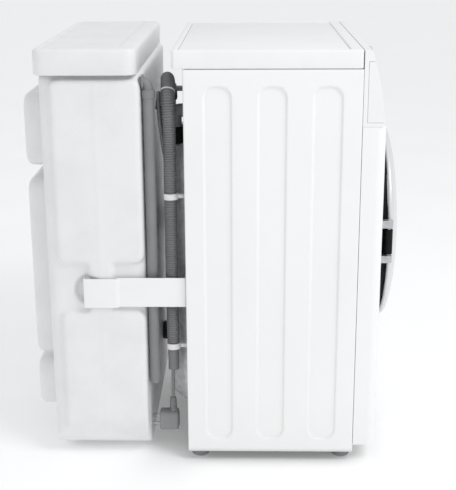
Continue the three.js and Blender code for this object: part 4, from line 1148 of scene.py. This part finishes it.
HOOK_CENTRE = (-210, 725)
HOOK_REACH = 45.2
HORN_CENTRE = (-221, 724)


def arch(centre, outer, inner, trim):
    return arc(centre, outer, trim, 180 - trim, 28) + list(reversed(arc(centre, inner, trim, 180 - trim, 28)))


def hose_hook():
    cradle = arch(HOOK_CENTRE, HOOK_REACH, HOOK_REACH - 8, 17)
    stands_for(pushed("hook_cradle", cradle, "y", 77, 103, "hose_plastic", 1.4, 3), "hose_hook")
    for count, y in enumerate((75.5, 101.5)):
        lip = arch(HOOK_CENTRE, HOOK_REACH + (1.2 if count else 5), HOOK_REACH - 6, 20)
        goes_with(pushed(f"hook_lip_{count}", lip, "y", y, y + 2.4, "hose_plastic", 0.7), "hose_hook")
    x, z = HOOK_CENTRE
    low, high = (x - 14, 55, z + HOOK_REACH - 8), (x + 14, 80, z + HOOK_REACH - 1)
    goes_with(block("hook_stem", low, high, "hose_plastic", 1.2), "hose_hook")
    horn = arch(HORN_CENTRE, 24, 17, 14)
    goes_with(pushed("hook_horn", horn, "y", 102, 114, "hose_plastic", 1.2, 3), "hose_hook")


def water_inlet():
    x, z = -225, 725
    flange = [(0.01, 55), (15, 55), (15, 59), (14, 60), (11.5, 61), (11.5, 70), (0.01, 70)]
    flange = turned("inlet_flange", flange, (x, 0, z), "pipe_plastic", "y", 48, closed=False)
    stands_for(flange, "water_inlet")
    turn = [(x, 66 + u, z + v) for u, v in arc((0, -11), 11, 90, 0, 8)]
    bend = [(x, 60, z), *turn, (x, 77, 690)]
    path, _ = smooth_path(bend, 3)
    goes_with(tube("inlet_elbow", path, 13.2, "pipe_plastic", 32, 60), "water_inlet")
    spigot = [(0.01, 655), (8.6, 655), (9.4, 656), (9.4, 700), (0.01, 700)]
    spigot = turned("inlet_spigot", spigot, (x, 77, 0), "pipe_plastic", "z", 36, closed=False)
    goes_with(spigot, "water_inlet")
    nut = [(15, 660), (16, 661.5), (16, 689), (15, 693), (12, 694), (10, 694), (10, 660)]

    def grooves(angle, radius, along):
        return 1 - 0.05 * max(0, math.cos(18 * angle)) ** 2 if radius > 14 else 1

    grooved = turned("inlet_nut", nut, (x, 77, 0), "dark_plastic", "z", 144, flute=grooves)
    goes_with(grooved, "water_inlet")


GLAND_PLACE = (180, 105, 150)
GLAND_LENGTH = 34
GLAND_FACE = 94.3                 # just off the rear panel's bulge


def cord_gland():
    x, y, z = GLAND_PLACE
    length, face = GLAND_LENGTH, GLAND_FACE
    flange = rounded([(x - 16, z - 16), (x + 16, z - 16), (x + 16, z + 16), (x - 16, z + 16)], 5, 6)
    stands_for(pushed("gland_flange", flange, "y", face, face + 4, "cord_jacket", 1.0, 3), "cord_gland")
    elbow = block("gland_elbow", (x - 8, face + 3, z - 8), (x + 8, y + 7, z + 8), "cord_jacket", 3, 4)
    goes_with(elbow, "cord_gland")
    relief = [(0.01, z + 4)]
    count = 7
    for i in range(count):
        low = z + 6 + (length - 8) * i / count
        radius = 7 - 2.2 * i / count
        relief += [(radius, low), (radius, low + 2.0), (radius - 1.1, low + 2.3), (radius - 1.1, low + 3.4)]
    relief += [(4.6, z + length - 2), (4.4, z + length - 0.2), (0.01, z + length)]
    goes_with(turned("gland_relief", relief, (x, y, 0), "cord_jacket", "z", 32, closed=False), "cord_gland")


# ---- Tank ----
TANK_FRONT, TANK_BACK = 136, 336
TANK_CORE, TANK_PANEL = 283, 293
TANK_TOP, TANK_RIM = 803, 840
TANK_WALL = 4
TANK_VOXEL = 4.2
TANK_KEEP = 0.4                   # share of the moulding's faces kept once it is thinned
BOTTOM_ROUND = 105                # at the lower corners, seen from the front
FRONT_ROUND, BACK_ROUND = 20, 40  # along the lower edges, seen from the side
WELL = {"y": 252, "z": 372, "radius": 33, "depth": 11}
PARTING = 226


def end_view():
    """The tank's outline in (X, Z): wide quarter rounds at its lower corners."""
    side, r = TANK_PANEL + 0.01, BOTTOM_ROUND
    low = arc((-side + r, r), r, 180, 270, 20) + arc((side - r, r), r, 270, 360, 20)
    return [*low, (side, 900), (-side, 900)]


def side_view():
    """The tank's outline in (Y, Z): a small round at its lower front edge and a larger one at the back."""
    front, back = TANK_FRONT - 0.01, TANK_BACK + 0.01
    low = arc((front + FRONT_ROUND, FRONT_ROUND), FRONT_ROUND, 180, 270, 6)
    low += arc((back - BACK_ROUND, BACK_ROUND), BACK_ROUND, 270, 360, 8)
    return [*low, (back, 900), (front, 900)]


def rounded_block(name, low, high, radius, axis, bevel):
    u, v, w = AXIS_PLACES[axis]
    corners = [(low[u], low[v]), (high[u], low[v]), (high[u], high[v]), (low[u], high[v])]
    return pushed(name, rounded(corners, radius, 6), axis, low[w], high[w], "tank_plastic", bevel, 3)


def tank_skin():
    core = rounded_block("core", (-TANK_CORE, TANK_FRONT, 0), (TANK_CORE, TANK_BACK, TANK_TOP), 26, "z", 9)
    upper = rounded_block("upper", (-TANK_PANEL, 139, 429), (TANK_PANEL, 313, 795), 20, "x", 7)
    lower = rounded_block("lower", (-TANK_PANEL, 139, 0), (TANK_PANEL, 310, 326), 20, "x", 7)
    neck = rounded_block("neck", (-TANK_PANEL, 204, 300), (TANK_PANEL, 250, 450), 2, "z", 4)
    rim = rounded_block("rim", (-279, 152, 790), (279, 332, TANK_RIM), 20, "z", 2)
    ribs = [
        rounded_block(f"rib_{low}", (-210, 300, low), (210, 381, high), 30, "y", 12)
        for low, high in ((607, 755), (200, 580), (80, 190))
    ]
    solids = [core, upper, lower, neck, rim, *ribs]
    for solid in solids:
        applied(solid)
    for solid in (core, lower):
        combined(solid, pushed("tool", end_view(), "y", 100, 400, "tank_plastic", 0), "INTERSECT")
        combined(solid, pushed("tool", side_view(), "x", -400, 400, "tank_plastic", 0), "INTERSECT")
    return melted(merged("tank_moulding", solids), TANK_VOXEL, 2, "tank_plastic")


def press_flanks(mesh):
    """Sinks a finger well into each end of the tank and raises the mould's parting line there."""
    points = np.empty(3 * len(mesh.vertices))
    mesh.vertices.foreach_get("co", points)
    points = points.reshape(-1, 3) / MM
    side = np.sign(points[:, 0])
    on_flank = np.abs(points[:, 0]) > 270
    away = np.hypot(points[:, 1] - WELL["y"], points[:, 2] - WELL["z"])
    sink = WELL["depth"] * smoothstep((WELL["radius"] - away) / 9)
    points[:, 0] -= side * np.where(on_flank, sink, 0)
    flash = 0.9 * np.exp(-((points[:, 1] - PARTING) / 3.0) ** 2) * (np.abs(points[:, 0]) > 278)
    points[:, 0] += side * np.where(away > WELL["radius"], flash, 0)
    mesh.vertices.foreach_set("co", (points * MM).ravel())


def in_mouth(face):
    x, y, z = face.calc_center_median() / MM
    return z > TANK_RIM - 4 and face.normal.z > 0.8 and abs(x) < 272 and 159 < y < 325


def open_mouth(mesh):
    """Takes away the faces that close the top of the rim."""
    work = bmesh.new()
    work.from_mesh(mesh)
    bmesh.ops.delete(work, geom=[face for face in work.faces if in_mouth(face)], context="FACES")
    work.to_mesh(mesh)
    work.free()


def tank_body():
    skin = tank_skin()
    press_flanks(skin.data)
    open_mouth(skin.data)
    thin = skin.modifiers.new("thin", "DECIMATE")
    thin.ratio = TANK_KEEP
    stands_for(walled(skin, TANK_WALL, -1), "tank_body")


LID_PANEL_LOW, LID_PANEL_HIGH = (-287, 180), (287, 331)


def tank_lid():
    low, high = box_mm("tank_lid")
    top = high[2]
    skirt = ((0.8, 0), (0, 1.4), (0, 40), (0.5, 43.4), (1.8, 46.4), (4, 48.3), (7, 49))
    rings = [soft_ring(low, high, 26, inset, low[2] + rise) for inset, rise in skirt]
    panel = ((-3.2, top), (-1.4, top - 0.3), (-0.2, top - 1.2), (1.2, top - 1.7), (3, top - 1.8))
    rings += [soft_ring(LID_PANEL_LOW, LID_PANEL_HIGH, 16, inset, z) for inset, z in panel]
    lid = loft("lid_moulding", rings, "tank_plastic", 45, (False, True))
    stands_for(walled(lid, TANK_WALL, -1), "tank_lid")


def tank_pipe():
    x, y = -270, 124.5
    barrel = [(9, 166), (10.4, 166), (11, 166.8), (11, 760), (9, 760)]
    stands_for(turned("pipe_barrel", barrel, (x, y, 0), "pipe_plastic", "z", 40), "suction_pipe")
    bend = [(x, y, 758), (x, y, 774)] + [(x, y + 13 + u, 774 + v) for u, v in arc((0, 0), 13, 160, 90, 5)]
    path, _ = smooth_path([*bend, (x, y + 20, 787), (x, 155, 787)], 2)
    goes_with(tube("pipe_bend", path, 9.6, "pipe_plastic", 32, 60), "pipe_elbow")
    socket = [(0.01, 756), (12.3, 756), (13, 757), (13, 771), (12.2, 772), (9.8, 773), (0.01, 773)]
    stands_for(turned("pipe_socket", socket, (x, y, 0), "pipe_plastic", "z", 40, closed=False), "pipe_elbow")
    flange = [(0.01, 133), (14, 133), (14.6, 133.8), (14.6, 136), (0.01, 136)]
    goes_with(turned("pipe_flange", flange, (x, 0, 787), "pipe_plastic", "y", 40, closed=False), "pipe_elbow")


STRAP_BOTTOM, STRAP_TOP = 338, 399


def strap(node, side):
    """A bent strip from the cabinet's back to the middle of the tank, stepped out where it laps."""
    plan = rounded([(277, 58), (290, 58), (290, 191), (297, 196), (297, 261.2), (284, 261.2)], 2.4, 5, False)

    def place(column, z):
        return side * column[0], column[1], z

    rows = stops((STRAP_BOTTOM, STRAP_TOP, 15))
    piece = sheet_of(f"{node}_band", plan, rows, place, "enamel", 1.5, 40)
    stands_for(bevelled(piece, 0.35, 2, 60), node)


CAP_CENTRE = (90, 0, 140)


def outlet_cap():
    profile = [
        (0.01, 124.6), (15, 124.4), (18.5, 124), (21, 124.6), (22, 126.5), (22, 134), (21.4, 135.4),
        (11, 135.7), (11, 150), (0.01, 150),
    ]

    def grip(angle, radius, along):
        return 1 - 0.06 * max(0, math.cos(12 * angle)) ** 3 if radius > 20 else 1

    knob = turned("outlet_knob", profile, CAP_CENTRE, "cap_plastic", "y", 192, closed=False, flute=grip)
    stands_for(knob, "outlet_cap")


# ---- Inner works keep their own forms, with edges broken ----
INNER_EDGES = {
    "base_frame": 1.2, "suspension_frame": 0.4, "detergent_drawer": 0.8, "siphon_cap": 0.5,
    "dispenser_housing": 0.7, "door_lock": 0.8, "tub_front": 1.2, "tub_rear": 1.2, "drum_spider": 1.5,
    "drum_pulley": 0.8, "drive_belt": 0.4, "motor": 0.8, "motor_pulley": 0.4, "counterweight": 3.0,
    "damper_cylinder_left": 1.0, "damper_cylinder_right": 1.0, "damper_rod_left": 0.5,
    "damper_rod_right": 0.5, "drain_pump": 1.0, "pump_filter": 1.0, "filter_flap": 0.9,
}


def inner_works():
    for node, edge in INNER_EDGES.items():
        stands_for(cad_copy(node, f"{node}_form", SLOT_OF[node], edge), node)


side_panel("left_side_panel", -1)
side_panel("right_side_panel", 1)
rear_panel()
worktop()
front_panel()
control_fascia()
drawer_front()
display_window()
program_knob()
buttons()
door_and_handle()
door_cover()
door_frame_and_glass()
door_hinge()
door_gasket()
drum()
for name in ("spring_left", "spring_right"):
    suspension_spring(name)
for name in ("foot_front_left", "foot_front_right", "foot_back_left", "foot_back_right"):
    foot(name)
hose_fittings()
hose_hook()
water_inlet()
cord_gland()
tank_body()
tank_lid()
tank_pipe()
strap("strap_left", -1)
strap("strap_right", 1)
outlet_cap()
inner_works()


# ---- Studio ----
def area_light(name, place, target, size, power):
    light = bpy.data.lights.new(name, "AREA")
    light.shape = "RECTANGLE"
    light.size, light.size_y = size
    light.energy = power
    lamp = bpy.data.objects.new(name, light)
    lamp.location = place
    lamp.rotation_euler = (Vector(target) - Vector(place)).to_track_quat("-Z", "Y").to_euler()
    bpy.context.scene.collection.objects.link(lamp)


def studio():
    world = bpy.data.worlds.new("studio")
    world.use_nodes = True
    world.node_tree.nodes["Background"].inputs["Color"].default_value = (0.98, 0.99, 1, 1)
    world.node_tree.nodes["Background"].inputs["Strength"].default_value = 0.77
    bpy.context.scene.world = world
    bpy.context.scene.view_settings.view_transform = "Standard"
    area_light("overhead_front", (-1.5, -1.7, 2.9), (-0.2, 0, 0.5), (1.3, 1.3), 34)
    reach = 60000
    corners = [(-reach, -reach, 0), (reach, -reach, 0), (reach, reach, 0), (-reach, reach, 0)]
    floor = from_lists("floor", corners, [(0, 1, 2, 3)], "white_clip")
    glow = {"Emission_Color": (1, 1, 1, 1), "Emission_Strength": 0.14}
    pale = new_look("pale_floor", (0.93, 0.93, 0.93), 0.6, **glow)
    tones(pale, texture(pale, "ShaderNodeTexNoise", 3, Detail=3), ((0.92, 0.92, 0.92), (0.94, 0.94, 0.94)))
    floor.data.materials[0] = pale


studio()
